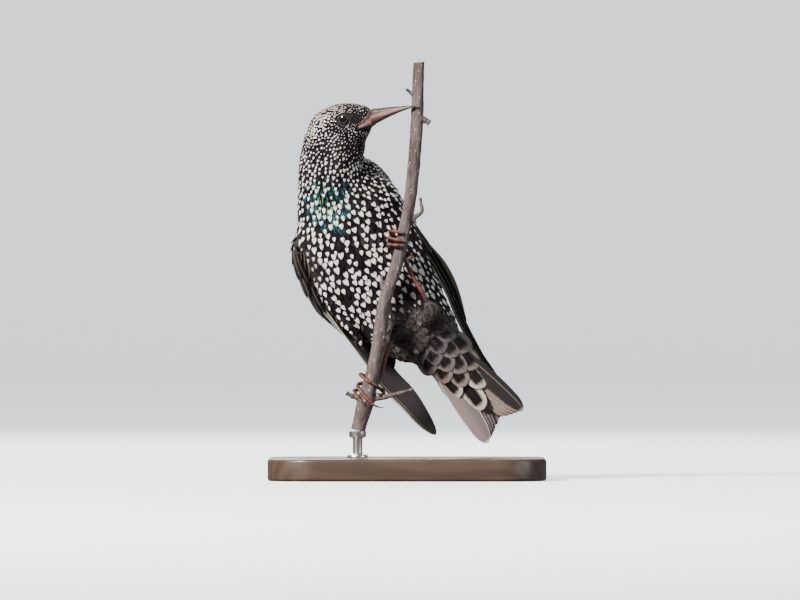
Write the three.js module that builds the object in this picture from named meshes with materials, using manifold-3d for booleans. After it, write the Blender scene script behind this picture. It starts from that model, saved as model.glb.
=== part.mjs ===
// A starling in fresh winter plumage, life size, clinging to a bare upright stem on a display stand.
// Millimetres. +X is the bird's picture-right, +Y is away from the viewer who faces its belly, +Z is up.
// The origin is the middle of the underside of the stand's base.

import * as THREE from 'three';
import { mergeVertices } from 'three/addons/utils/BufferGeometryUtils.js';
import Module from 'manifold-3d';

const wasm = await Module();
wasm.setup();

// Driving dimensions
const GAP = 0.3; // clear space between pieces that touch
const PERCH_SETBACK = -24; // the stem stands in front of the middle of the base
const BASE_WIDTH = 150;
const BASE_DEPTH = 118;
const BASE_HEIGHT = 12;
const BASE_CORNER = 26;
const BASE_BEVEL = 1.5;
const STEM_TOP = 226;
const STEM_FOOT = 27;
const ROD_RADIUS = 2.6;
const COLLAR_RADIUS = 5.6;
const COLLAR_HEIGHT = 4;

const BILL_LENGTH = 24.6; // from the feathers of the forehead to the tip
const HEAD_YAW = THREE.MathUtils.degToRad(14); // the bill comes round towards the viewer by this
const HEAD_PITCH = THREE.MathUtils.degToRad(11.7);
const EYE_RADIUS = 4.2;
const EYE_SETTING = 8.35; // centre of each eyeball from the head's middle plane
const EYE_FORWARD = 5.1;
const EYE_HEIGHT = 1.3;
const LID_RADIUS = 3.3;
const LID_THICKNESS = 0.62;
const NOSTRIL = { forward: 21.4, side: 3.1, up: 2.5, half: [1.5, 0.9, 0.65] };

const WING_LENGTH = 130; // folded, wrist to tip
const WING_PITCH = 1.9; // spacing of the flight feathers across the folded wing
const TAIL_LENGTH = 66;
const VANE_THICKNESS = 0.55;
const TIP_THICKNESS = 0.36;
const VANE_CLEARANCE = 0.42; // between vanes that lie over one another
const TARSUS_RADIUS = 1.25;
const TOE_RADIUS = 1.05;
const CLAW_RADIUS = 0.8;

const BACK = new THREE.Vector3(0, 1, 0);
const v3 = (x, y, z) => new THREE.Vector3(x, y, z);
const lerp = THREE.MathUtils.lerp;
const radians = THREE.MathUtils.degToRad;

// Solids and booleans
function solid(geometry) {
  geometry.deleteAttribute('normal');
  geometry.deleteAttribute('uv');
  const merged = mergeVertices(geometry);
  const corners = merged.attributes.position.array;
  const faces = Uint32Array.from(merged.index.array);
  const point = (i) => v3(...corners.slice(3 * i, 3 * i + 3));
  let volume = 0;
  for (let i = 0; i < faces.length; i += 3) {
    volume += point(faces[i]).dot(point(faces[i + 1]).cross(point(faces[i + 2])));
  }
  if (volume < 0) {
    for (let i = 0; i < faces.length; i += 3) [faces[i], faces[i + 1]] = [faces[i + 1], faces[i]];
  }
  const vertProperties = Float32Array.from(corners);
  return new wasm.Manifold(new wasm.Mesh({ numProp: 3, vertProperties, triVerts: faces }));
}

function largest(body) {
  return body.decompose().reduce((best, piece) => (piece.volume() > best.volume() ? piece : best));
}

function fuse(pieces) {
  return largest(pieces.reduce((whole, piece) => whole.add(piece)));
}

function sheet(name, body, finish) {
  const { vertProperties, triVerts } = body.getMesh();
  const geometry = new THREE.BufferGeometry();
  geometry.setAttribute('position', new THREE.BufferAttribute(vertProperties, 3));
  geometry.setIndex(new THREE.BufferAttribute(triVerts, 1));
  geometry.computeVertexNormals();
  const mesh = new THREE.Mesh(geometry, new THREE.MeshStandardMaterial(finish));
  mesh.name = name;
  return mesh;
}

// A round form: each point of a sphere's grid is set by place(t, angle), t from pole to pole. Each pole
// is the middle of its own ring.
function mould(sides, rings, place) {
  const geometry = new THREE.SphereGeometry(1, sides, rings);
  const { position, uv } = geometry.attributes;
  for (let i = 0; i < position.count; i++) {
    const t = 1 - uv.getY(i);
    const pole = t < 1e-6 || t > 1 - 1e-6;
    const at = pole ? place(t, 0).lerp(place(t, Math.PI), 0.5) : place(t, 2 * Math.PI * uv.getX(i));
    position.setXYZ(i, at.x, at.y, at.z);
  }
  return solid(geometry);
}

// A thin form with the same triangles on both faces: place(u, v, face), with face 1 or -1.
function plate(columns, rows, place) {
  const grid = new THREE.PlaneGeometry(1, 1, columns, rows).index.array;
  const across = columns + 1;
  const count = across * (rows + 1);
  const corners = [];
  for (const face of [1, -1]) {
    for (let r = 0; r <= rows; r++) {
      for (let c = 0; c <= columns; c++) corners.push(...place(c / columns, r / rows, face).toArray());
    }
  }
  const faces = [...grid];
  for (let i = 0; i < grid.length; i += 3) {
    faces.push(grid[i + 1] + count, grid[i] + count, grid[i + 2] + count);
  }
  const rim = [];
  for (let c = 0; c < columns; c++) rim.push(c);
  for (let r = 0; r < rows; r++) rim.push(r * across + columns);
  for (let c = columns; c > 0; c--) rim.push(rows * across + c);
  for (let r = rows; r > 0; r--) rim.push(r * across);
  rim.forEach((from, i) => {
    const to = rim[(i + 1) % rim.length];
    faces.push(from, to, from + count, to, to + count, from + count);
  });
  const geometry = new THREE.BufferGeometry();
  geometry.setAttribute('position', new THREE.Float32BufferAttribute(corners, 3));
  geometry.setIndex(faces);
  return solid(geometry);
}

// A straight-line reading of a short table of [where, value] rows.
function reading(rows) {
  return (where) => {
    const next = rows.findIndex(([at]) => at > where);
    if (next === 0) return rows[0][1];
    if (next < 0) return rows[rows.length - 1][1];
    const [[from, low], [to, high]] = [rows[next - 1], rows[next]];
    return lerp(low, high, (where - from) / (to - from));
  };
}

function curveOf(points) {
  return new THREE.CatmullRomCurve3(points.map((p) => v3(...p)), false, 'centripetal');
}

// A tube along part of a curve, with a radius that radiusAt(t) gives and flat ends.
function tube(curve, radiusAt, { from = 0, to = 1, sides = 8, rings = 10, grow = 0 } = {}) {
  const frames = curve.computeFrenetFrames(rings, false);
  return mould(sides, rings + 2, (t, angle) => {
    const step = THREE.MathUtils.clamp(Math.round(t * (rings + 2)) - 1, 0, rings);
    const where = lerp(from, to, step / rings);
    const middle = curve.getPointAt(where);
    const tangent = curve.getTangentAt(where);
    const side = frames.normals[step].clone();
    side.addScaledVector(tangent, -side.dot(tangent)).normalize();
    const up = tangent.clone().cross(side);
    const radius = radiusAt(where) + grow;
    if (step === 0) middle.addScaledVector(tangent, -grow);
    if (step === rings) middle.addScaledVector(tangent, grow);
    middle.addScaledVector(side, radius * Math.cos(angle));
    return middle.addScaledVector(up, radius * Math.sin(angle));
  });
}

// The half of space on one side of a plane, as a block large enough for any piece here.
function halfSpace(point, normal, clearance) {
  const size = 400;
  const block = new THREE.BoxGeometry(size, size, size);
  const turn = new THREE.Quaternion().setFromUnitVectors(v3(0, 0, 1), normal.clone().normalize());
  block.applyQuaternion(turn);
  const middle = point.clone().addScaledVector(normal.clone().normalize(), size / 2 + clearance);
  block.translate(middle.x, middle.y, middle.z);
  return solid(block);
}

function above(body, point, normal) {
  return largest(body.intersect(halfSpace(point, normal, GAP / 2)));
}

function below(body, point, normal) {
  return largest(body.intersect(halfSpace(point, normal.clone().negate(), GAP / 2)));
}

// The bird's neck, breast, belly and vent in one: centre of each section, then its half width across
// the picture, its depth towards the viewer and its depth towards the back.
const TRUNK = [
  { at: [-36.5, 12, 195], half: [1, 1, 1] },
  { at: [-37.3, 12, 191.6], half: [12.4, 9.4, 9.6] },
  { at: [-37.8, 12, 187.4], half: [16, 11.6, 12.2] },
  { at: [-38.6, 12.5, 183], half: [17, 12.4, 13] },
  { at: [-40.6, 14.5, 175], half: [17.3, 14.2, 15.5] },
  { at: [-41.4, 17.4, 167], half: [18, 16, 17.8] },
  { at: [-39.8, 20.5, 160.4], half: [20.8, 18, 20] },
  { at: [-36.6, 24, 153], half: [25.8, 20.6, 22.6] },
  { at: [-32, 27, 144], half: [31.4, 23, 25] },
  { at: [-28.4, 30, 130.5], half: [33.6, 24.8, 26.5] },
  { at: [-21, 31, 117.5], half: [33.6, 24.6, 25.5] },
  { at: [-11.8, 31, 103.4], half: [30.6, 22.8, 23] },
  { at: [-1.3, 30, 90], half: [26.3, 19.8, 19] },
  { at: [8.8, 29.5, 79.3], half: [21, 15.8, 14.5] },
  { at: [19, 29.5, 68.6], half: [15.2, 10.6, 9.6] },
  { at: [27.6, 30, 59.4], half: [11.6, 6.4, 5.4] },
  { at: [34, 30.4, 52.6], half: [8.4, 3.6, 3] },
  { at: [37.5, 30.6, 49], half: [1, 1, 1] },
];

function trunkOf(grow) {
  const middle = new THREE.CatmullRomCurve3(TRUNK.map(({ at }) => v3(...at)));
  const halves = new THREE.CatmullRomCurve3(TRUNK.map(({ half }) => v3(...half)));
  return mould(26, 26, (t, angle) => {
    const at = middle.getPoint(t);
    const tangent = middle.getTangent(t);
    const side = BACK.clone().cross(tangent).normalize();
    const back = tangent.clone().cross(side).normalize();
    const half = halves.getPoint(t);
    const depth = Math.sin(angle) > 0 ? half.z : half.y;
    at.addScaledVector(side, (half.x + grow) * Math.cos(angle));
    return at.addScaledVector(back, (depth + grow) * Math.sin(angle));
  });
}

// The head's own frame: forward along the bill, left away from the viewer, up through the crown.
const HEAD_CENTRE = v3(-36.2, 10, 192.4);
const FORWARD = v3(
  Math.cos(HEAD_YAW) * Math.cos(HEAD_PITCH),
  -Math.sin(HEAD_YAW) * Math.cos(HEAD_PITCH),
  Math.sin(HEAD_PITCH),
);
const LEFT = v3(Math.sin(HEAD_YAW), Math.cos(HEAD_YAW), 0);
const UP = FORWARD.clone().cross(LEFT);

function onHead(forward, left, up) {
  const point = HEAD_CENTRE.clone().addScaledVector(FORWARD, forward);
  return point.addScaledVector(LEFT, left).addScaledVector(UP, up);
}

const BILL_BASE = 19.4; // where the bill leaves the feathers, forward of the head's centre
const GAPE = 10.6; // the corner of the mouth
const HEAD_REAR = -18.2;
const HEAD_FRONT = 20.6;

const crown = reading([[-18.2, 0], [-17, 3.4], [-14.4, 6.4], [-10.5, 8.9], [-6, 10.4], [-1, 11.1], [4, 11],
  [8, 10.2], [12, 8.8], [15.5, 7], [18, 5.4], [19.6, 4.4], [20.6, 0.4]]);
const chin = reading([[-18.2, -2], [-17, -6], [-14, -9], [-8, -12], [-1, -13], [6, -13.4], [11, -12.6],
  [13.6, -10.6], [16, -7.6], [18, -5], [19.6, -4.3], [20.6, -0.4]]);
const cheek = reading([[-18.2, 0], [-17, 5.4], [-14, 8.8], [-9, 11.2], [-2, 12.2], [4, 11.8], [8, 10.8],
  [12, 9], [15.5, 6.8], [18, 5], [19.6, 4.2], [20.6, 0.4]]);

function skull() {
  const ease = (t) => lerp(HEAD_REAR, HEAD_FRONT, (1 - Math.cos(Math.PI * t)) / 2);
  return mould(22, 17, (t, angle) => {
    const forward = ease(t);
    const height = (crown(forward) - chin(forward)) / 2;
    const middle = (crown(forward) + chin(forward)) / 2;
    return onHead(forward, cheek(forward) * Math.cos(angle), middle + height * Math.sin(angle));
  });
}

// The line where the two halves of the bill meet, from the gape to the tip.
const mouthLine = reading([[10.6, -4.3], [14, -3.2], [19.4, -1.5], [30, -0.1], [44.2, 0.8]]);

function mouthSlot() {
  const stations = [GAPE, 14, BILL_BASE, 24.8, 30, 37, 46];
  const reach = 14;
  return plate(1, stations.length - 1, (u, v, face) => {
    const forward = stations[Math.round(v * (stations.length - 1))];
    return onHead(forward, lerp(-reach, reach, u), mouthLine(forward) + (face * GAP) / 2);
  });
}

const EYES = { eye_right: -1, eye_left: 1 };
const eyeCentre = (side) => onHead(EYE_FORWARD, side * EYE_SETTING, EYE_HEIGHT);

function eyeball(side, grow) {
  const at = eyeCentre(side);
  return mould(18, 10, (t, angle) => {
    const radius = EYE_RADIUS + grow;
    const pole = LEFT.clone().multiplyScalar(radius * Math.cos(Math.PI * t));
    const ring = radius * Math.sin(Math.PI * t);
    pole.addScaledVector(FORWARD, ring * Math.cos(angle)).addScaledVector(UP, ring * Math.sin(angle));
    return pole.add(at);
  });
}

function lid(side) {
  const ring = new THREE.TorusGeometry(LID_RADIUS, LID_THICKNESS, 5, 18);
  ring.scale(1.06, 0.96, 1);
  const basis = new THREE.Matrix4().makeBasis(FORWARD, UP, FORWARD.clone().cross(UP));
  const outward = Math.sqrt(EYE_RADIUS ** 2 - LID_RADIUS ** 2) + EYE_SETTING;
  basis.setPosition(onHead(EYE_FORWARD, side * outward, EYE_HEIGHT));
  ring.applyMatrix4(basis);
  return solid(ring);
}

function headAndTrunk() {
  let body = skull().add(trunkOf(0));
  for (const side of Object.values(EYES)) {
    body = body.add(lid(side));
    body = body.subtract(eyeball(side, GAP));
  }
  return body.subtract(mouthSlot());
}

const culmen = reading([[19.4, 4.3], [25, 3.7], [31, 2.9], [38, 1.9], [42, 1.25], [44.2, 0.8]]);
const keel = reading([[19.4, -4.3], [23, -3.3], [27, -2.2], [33, -1], [39, -0.1], [44.2, 0.75]]);
const billSide = reading([[19.4, 4.1], [22, 3.3], [27, 2.5], [34, 1.7], [41, 1], [44.2, 0.35]]);

function bill() {
  const base = BILL_BASE + GAP;
  const tip = BILL_BASE + BILL_LENGTH;
  const rings = 9;
  const whole = mould(12, rings + 1, (t, angle) => {
    const step = Math.max(0, Math.round(t * (rings + 1)) - 1) / rings;
    const forward = lerp(base, tip, step);
    const height = (culmen(forward) - keel(forward)) / 2;
    const middle = (culmen(forward) + keel(forward)) / 2;
    return onHead(forward, billSide(forward) * Math.cos(angle), middle + height * Math.sin(angle));
  });
  const pieces = whole.subtract(mouthSlot()).decompose();
  const halves = pieces.sort((a, b) => b.volume() - a.volume()).slice(0, 2);
  const heightOf = (half) => {
    const { min, max } = half.boundingBox();
    return min[2] + max[2];
  };
  return halves.sort((a, b) => heightOf(b) - heightOf(a));
}

function nostril(side) {
  const [long, deep, high] = NOSTRIL.half;
  return mould(10, 6, (t, angle) => {
    const ring = Math.sin(Math.PI * t);
    const forward = NOSTRIL.forward - long * Math.cos(Math.PI * t);
    const left = side * NOSTRIL.side + deep * ring * Math.cos(angle);
    return onHead(forward, left, NOSTRIL.up + high * ring * Math.sin(angle));
  });
}

// Wings: each folded wing is a curved sheet. s runs from the wrist to the tip along the leading edge,
// t from that edge round the flank to the back, and h stands off the sheet.
const WING_BEND = reading([[0, 23], [45, 25], [70, 38], [100, 60]]); // its radius round the flank, by s

function wingSheet({ lead, turn, outward }) {
  const edge = curveOf(lead);
  const length = edge.getLength();
  const angleAt = reading(turn.map(([s, degrees]) => [s, radians(degrees)]));
  const out = v3(...outward).normalize();
  return (s, t, h) => {
    const where = THREE.MathUtils.clamp(s / length, 0, 1);
    const point = edge.getPointAt(where).addScaledVector(edge.getTangentAt(where), s - where * length);
    const start = angleAt(s);
    const bend = WING_BEND(s);
    const end = start + t / bend;
    point.addScaledVector(out, bend * (Math.sin(end) - Math.sin(start)) + h * Math.sin(end));
    return point.addScaledVector(BACK, bend * (Math.cos(start) - Math.cos(end)) - h * Math.cos(end));
  };
}

const RIGHT_WING = wingSheet({
  lead: [[-60.4, 24, 127], [-57, 21.5, 117.8], [-52, 20.5, 108], [-46, 20.5, 96], [-38.6, 22, 85],
    [-30, 24, 73.6], [-21.4, 26, 62], [-15.1, 27.5, 51.8], [-2.4, 29, 38.4], [5.2, 29.5, 29.8],
    [13.4, 30, 21]],
  turn: [[0, 62], [12, 55], [25, 50], [40, 56], [52, 74], [66, 94], [82, 106], [100, 117], [128, 124]],
  outward: [-0.811, 0, -0.585],
});
const LEFT_WING = wingSheet({
  lead: [[-12.4, 36.5, 161], [-4.9, 33.5, 146], [3.4, 31.5, 129.6], [12.8, 31, 114.1], [19.9, 31.4, 102],
    [27.1, 33, 86.5], [37.6, 37, 67.8], [46.7, 39.6, 56.8], [50, 40, 52.4]],
  turn: [[0, 64], [30, 50], [50, 47], [84, 60], [107, 62], [128, 64]],
  outward: [0.866, 0, 0.501],
});

// One vane in a sheet's own measures: from root to tip, wide in the middle, thin at the tip. With lean,
// its front edge stands high, over the inner web of the vane before it.
const VANE_FORM = reading([
  [0, 0.4], [0.15, 0.86], [0.3, 1], [0.8, 0.96], [0.92, 0.74], [0.975, 0.46], [1, 0.16],
]);

function vane(onSheet, { root, tip, width, rise = [0, 0], lean = 0, step = 24 }) {
  const length = tip[0] - root[0];
  const taper = Math.min(width * 0.75, length * 0.4);
  const stations = [root[0]];
  for (let s = Math.ceil((root[0] + 1) / step) * step; s < tip[0] - taper - 1; s += step) stations.push(s);
  stations.push(tip[0] - taper, tip[0] - taper * 0.3, tip[0]);
  const rows = stations.length - 1;
  return plate(1, rows, (u, v, face) => {
    const s = stations[Math.round(v * rows)];
    const along = (s - root[0]) / length;
    const half = (VANE_FORM(along) * width) / 2;
    const offset = (2 * u - 1) * half;
    const thickness = lerp(VANE_THICKNESS, TIP_THICKNESS, along);
    const t = lerp(root[1], tip[1], along) + offset;
    const h = lerp(rise[0], rise[1], along) - lean * offset + (face * thickness) / 2;
    return onSheet(s, t, h);
  });
}

const leanFor = (spacing) => (VANE_THICKNESS + VANE_CLEARANCE) / spacing;

// The folded flight feathers from the leading edge to the back: primaries, secondaries, tertials.
const FIRST_VANE = 4.2;
const PRIMARIES = 7;
const PRIMARY_TIP_PITCH = 1.35;
const SECONDARY_TIPS = [88, 86, 84, 81];
const TERTIAL_TIPS = [75, 66, 56];

function flightFeathers(onWing) {
  const feathers = [];
  for (let i = 0; i < PRIMARIES; i++) {
    const end = WING_LENGTH - 0.9 * i ** 1.75;
    const tip = [end, FIRST_VANE + PRIMARY_TIP_PITCH * i];
    feathers.push({ root: [36, FIRST_VANE + WING_PITCH * i], tip, width: 8.4 });
  }
  [...SECONDARY_TIPS, ...TERTIAL_TIPS].forEach((end, i) => {
    const t = FIRST_VANE + WING_PITCH * PRIMARIES + (WING_PITCH + 0.5) * i;
    feathers.push({ root: [36, t], tip: [end, t], width: 10.6 });
  });
  return feathers.map((f) => vane(onWing, { ...f, rise: [-1.8, -1.8], lean: leanFor(WING_PITCH) }));
}

// Tiers of coverts over the roots of the flight feathers: greater, primary, median, then the alula.
const COVERT_TIERS = [
  { count: 7, from: 8.4, pitch: 3.7, root: 24, end: 46.5, fall: 0.5, width: 8.4, rise: [-0.6, 1] },
  { count: 3, from: 3, pitch: 2.3, root: 18, end: 40, fall: 1.8, width: 5.4, rise: [-0.6, 0.8] },
  { count: 6, from: 7, pitch: 4.3, root: 10, end: 29, fall: 0.6, width: 8.6, rise: [0, 2.1] },
  { count: 2, from: 2, pitch: 1.8, root: 4, end: 24, fall: 5.2, width: 4, rise: [0, 1.7] },
];

function coverts(onWing) {
  return COVERT_TIERS.flatMap(({ count, from, pitch, root, end, fall, width, rise }) => {
    const row = [];
    for (let i = 0; i < count; i++) {
      const t = from + pitch * i;
      const lean = leanFor(pitch) * 0.75;
      row.push(vane(onWing, { root: [root, t], tip: [end - fall * i, t], width, rise, lean, step: 12 }));
    }
    return row;
  });
}

// The flesh of the arm under the coverts, as it stands off the sheet along s.
const ARM = { start: -4.5, end: 43, front: 0, back: 35, depth: 4.4 };
const armRise = reading([[-4.5, -2.4], [-2, -0.8], [4, 0.4], [14, 0.6], [26, 0.1], [38, -0.6], [43, -1.2]]);
const armFront = reading([[-4.5, 7], [-2, 3], [4, 0.4], [8, 0]]);
const armBack = reading([[-4.5, 18], [-2, 24], [5, 31], [14, 35]]);

function arm(onWing) {
  const stations = [ARM.start, -2, 4, 13, 23, 33, ARM.end];
  const rows = stations.length - 1;
  return plate(5, rows, (u, v, face) => {
    const s = stations[Math.round(v * rows)];
    const roundness = Math.sin(Math.PI * Math.min(1, 0.08 + 0.9 * u)) ** 0.4;
    const top = lerp(-3.2, armRise(s), roundness);
    return onWing(s, lerp(armFront(s), armBack(s), u), face > 0 ? top : -ARM.depth);
  });
}

function wing(onWing) {
  return fuse([arm(onWing), ...flightFeathers(onWing), ...coverts(onWing)]);
}

// The hollow in the flank that each folded wing lies in: flat under the arm, then sloping as the
// flight feathers do.
const BED = { start: -5.2, end: 92, front: -1.4, back: 42, outside: 26, extra: 0.25 };
const VANE_BED = { shallow: 1.2, slope: 0.52, deep: 5.9 };

function wingBed(onWing) {
  const columns = 8;
  const bed = (start, end, depthAt) => plate(columns, 5, (u, v, face) => {
    const t = lerp(BED.front, BED.back, u);
    return onWing(lerp(start, end, v), t, face > 0 ? BED.outside : -depthAt(t));
  });
  const { shallow, slope, deep } = VANE_BED;
  const underArm = bed(BED.start, ARM.end + GAP, () => ARM.depth + GAP + BED.extra);
  const underVanes = (t) => THREE.MathUtils.clamp(shallow + slope * t, shallow, deep);
  return underArm.add(bed(ARM.end, BED.end, underVanes));
}

// Tail: s runs down the tail, t across it, h towards the viewer.
const TAIL_ROOT = v3(12, 30, 77.5);
const TAIL_AXIS = v3(0.632, 0.03, -0.775).normalize();
const TAIL_ACROSS = v3(0.775, 0, 0.632).normalize();
const TAIL_FRONT = TAIL_AXIS.clone().cross(TAIL_ACROSS).multiplyScalar(-1);
if (TAIL_FRONT.y > 0) TAIL_FRONT.negate();

function onTail(s, t, h) {
  const point = TAIL_ROOT.clone().addScaledVector(TAIL_AXIS, s).addScaledVector(TAIL_ACROSS, t);
  return point.addScaledVector(TAIL_FRONT, h);
}

const RECTRIX_PAIRS = 6;
const RECTRIX_WIDTH = 10.4;
const RECTRIX_LAYER = 0.97;
const TAIL_FAN = [ // the two halves of the tail: side, spacing of the tips, how much shorter
  { side: -1, pitch: 1.95, short: 0 },
  { side: 1, pitch: 2.4, short: 1.8 },
];

function rectrices() {
  const feathers = [];
  for (let i = 0; i < RECTRIX_PAIRS; i++) {
    for (const { side, pitch, short } of TAIL_FAN) {
      const end = 1.6 + pitch * i;
      const layer = i + (i === 0 && side > 0 ? -1 : 0);
      const height = RECTRIX_LAYER * layer - 1.4;
      const length = TAIL_LENGTH - 5.6 - short + 0.9 * i;
      const inner = Math.min(RECTRIX_WIDTH / 2, end - 0.2);
      const wide = i === 0 ? RECTRIX_WIDTH : inner + RECTRIX_WIDTH / 2;
      const shift = i === 0 ? 0 : (RECTRIX_WIDTH / 2 - inner) / 2;
      feathers.push(vane(onTail, {
        root: [10, side * (0.6 + 0.9 * i)], tip: [length, side * (end + shift)], width: wide,
        rise: [height, height],
      }));
    }
  }
  return feathers;
}

// Tiers of coverts: four under the tail, the longest nearest the tip, and one above it.
const TAIL_COVERTS = [
  { count: 3, root: 20, end: 49, width: 9.5, pitch: 5.4, rise: [5.4, 4.7] },
  { count: 4, root: 12, end: 39, width: 9.5, pitch: 5.2, rise: [8.4, 6.2] },
  { count: 3, root: 5, end: 29, width: 9, pitch: 6, rise: [11, 9.2] },
  { count: 4, root: 10, end: 33, width: 8.4, pitch: 4.6, rise: [-5, -4.2] },
];

function tailCoverts() {
  return TAIL_COVERTS.flatMap(({ count, root, end, width, pitch, rise }) => {
    const row = [];
    for (let i = 0; i < count; i++) {
      const place = i - (count - 1) / 2;
      row.push(vane(onTail, {
        root: [root, place * pitch * 0.7], tip: [end - Math.abs(place) * 3, place * pitch], width, rise,
        step: 12,
      }));
    }
    return row;
  });
}

// Legs and feet
const STEM = [
  [6.4, 5.6, STEM_TOP + 6], [5.9, 5.2, 216], [5.1, 4.5, 189], [1.6, 3.2, 151.4], [-2.2, 2.6, 132.4],
  [-5.9, 2.1, 116], [-11.9, 1.5, 97.3], [-15.9, 0.7, 70.3], [-22.2, 0, 43.2], [-27.4, -0.4, 24],
  [-29.2, -0.5, 17],
];
const stemCurve = curveOf(STEM);
const stemRadius = reading([
  [0, 2.9], [0.2, 3.45], [0.5, 3.3], [0.7, 3.7], [0.84, 4], [0.88, 5], [0.91, 4.1], [1, 4.3],
]);

const LEGS = {
  left: {
    thigh: [[10, 27, 84], [11.6, 18, 88], [13, 10.5, 91.4], [12, 9, 93]],
    tarsus: [[13, 10.4, 91], [12, 9, 93.4], [7.6, 7.6, 102.4], [2.2, 7.4, 111.5], [-3.4, 8.2, 124.6]],
    toes: [
      [[-3.4, 8.2, 124.8], [-9.6, 5, 129.4], [-9.2, -0.6, 130.6], [-5.4, -2.9, 129.6], [0.2, -2.2, 128.6],
        [2.2, 0.2, 127.2]],
      [[-3.4, 8.2, 124.6], [-9.4, 5, 126.4], [-9.8, 0.2, 127.2], [-6.4, -2.9, 126.8], [-1.6, -3, 126.6],
        [1.4, -0.9, 125.2]],
      [[-3.6, 8.2, 125], [-8.6, 5.2, 132.4], [-8.4, 0.2, 134.4], [-5, -2.2, 134], [-1.6, -2.7, 133.2],
        [1, -1.8, 131.8]],
      [[-3.2, 8.2, 124.4], [0.4, 8, 122.4], [2.4, 4.6, 121], [1.6, 0.4, 120], [-1.6, -2.2, 118.8]],
    ],
  },
  right: {
    thigh: [[8, 27, 86], [0, 20, 82], [-5.6, 13.6, 79], [-7, 12, 78]],
    tarsus: [[-5.6, 13.6, 79.4], [-7.2, 11.8, 77.4], [-10.6, 9.6, 69.6], [-13, 8, 60.6], [-17, 6.8, 51]],
    toes: [
      [[-17, 6.8, 51.2], [-21.8, 6.2, 55.6], [-25, 1.6, 57.4], [-22, -3.8, 54.4], [-17, -4, 51.6],
        [-13.6, -1.2, 49]],
      [[-17, 6.8, 51], [-22.6, 5.8, 52.4], [-26.6, 1.4, 51.6], [-24.8, -3.9, 48.2], [-21.4, -5.8, 44],
        [-17.8, -5.5, 40.8], [-14.8, -4.4, 39.6], [-11.9, -3.4, 39.4]],
      [[-17, 6.8, 50.8], [-22.4, 7, 49.4], [-27.4, 3.4, 48.7], [-28.3, -0.4, 48.3], [-26.8, -3.8, 45.4],
        [-23.6, -5.7, 41.8], [-20.6, -5.6, 39]],
      [[-16.6, 6.8, 50.8], [-13, 5, 48.2], [-13, 0.8, 46.2], [-15, -3.2, 46.6], [-17.6, -4.8, 47.6]],
    ],
  },
};
const CLAW_SHARE = 0.78; // the claw is the last part of each toe's path

function toe(path) {
  const curve = curveOf(path);
  const knuckles = (t) => TOE_RADIUS * (0.94 + 0.14 * Math.cos(t * 26));
  return tube(curve, knuckles, { to: CLAW_SHARE, sides: 6, rings: 9 });
}

function claw(path) {
  const curve = curveOf(path);
  const start = CLAW_SHARE + GAP / curve.getLength();
  const taper = (t) => lerp(CLAW_RADIUS, 0.16, ((t - start) / (1 - start)) ** 1.3);
  return tube(curve, taper, { from: start, sides: 6, rings: 4 });
}

function tarsus(path, grow) {
  const heel = (t) => 0.42 * Math.exp(-((t * 7) ** 2));
  const ankle = (t) => 0.3 * Math.exp(-(((1 - t) * 8) ** 2));
  const radiusAt = (t) => TARSUS_RADIUS * (1 + heel(t) + ankle(t));
  return tube(curveOf(path), radiusAt, { sides: 9, rings: 9, grow });
}

function thigh(path) {
  return tube(curveOf(path), (t) => lerp(7.5, 2.2, t ** 0.8), { sides: 12, rings: 7 });
}

// Perch
const TWIGS = [
  { path: [[5.2, 4.6, 204], [3, 3.4, 208], [-0.5, 2.2, 211]], radius: [1.5, 0.9] },
  { path: [[5.4, 4.4, 196], [9, 3.4, 194.6], [12.4, 2.8, 192.6]], radius: [2, 1.7] },
  { path: [[1, 3, 140], [5, 2.6, 142.4], [8, 2.2, 145], [7.2, 1.8, 152.6]], radius: [1.5, 1] },
  { path: [[-10.6, 1.6, 101], [-13, 0.8, 104], [-13.8, 0.4, 110.6]], radius: [1.6, 1.1] },
  { path: [[-21.4, 0, 44], [-13, -1, 44.8], [-6, -1.4, 46.6], [3.2, -1.6, 49.4]], radius: [1.7, 0.9] },
  { path: [[-22.4, 0, 43], [-28, -0.6, 45], [-33, -0.8, 47.4]], radius: [1.8, 1.2] },
];

function wholeStem(grow) {
  let wood = tube(stemCurve, stemRadius, { sides: 10, rings: 24, grow });
  for (const { path, radius } of TWIGS) {
    const taper = (t) => lerp(radius[0], radius[1], t);
    wood = wood.add(tube(curveOf(path), taper, { sides: 6, rings: 4, grow }));
  }
  return wood;
}

function perch() {
  const wood = wholeStem(0).intersect(halfSpace(v3(0, 0, STEM_TOP), v3(0, 0, -1), 0));
  return largest(wood.intersect(halfSpace(v3(0, 0, STEM_FOOT), v3(0, 0, 1), 0)));
}

// Display stand
function standBase() {
  const outline = new THREE.Shape();
  const [w, d, r] = [BASE_WIDTH / 2 - BASE_BEVEL, BASE_DEPTH / 2 - BASE_BEVEL, BASE_CORNER];
  outline.moveTo(-w + r, -d);
  outline.lineTo(w - r, -d).absarc(w - r, -d + r, r, -Math.PI / 2, 0);
  outline.lineTo(w, d - r).absarc(w - r, d - r, r, 0, Math.PI / 2);
  outline.lineTo(-w + r, d).absarc(-w + r, d - r, r, Math.PI / 2, Math.PI);
  outline.lineTo(-w, -d + r).absarc(-w + r, -d + r, r, Math.PI, 1.5 * Math.PI);
  const board = new THREE.ExtrudeGeometry(outline, {
    depth: BASE_HEIGHT - 2 * BASE_BEVEL, bevelThickness: BASE_BEVEL, bevelSize: BASE_BEVEL,
    bevelSegments: 1, curveSegments: 5,
  });
  board.translate(0, 0, BASE_BEVEL);
  return solid(board);
}

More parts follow.
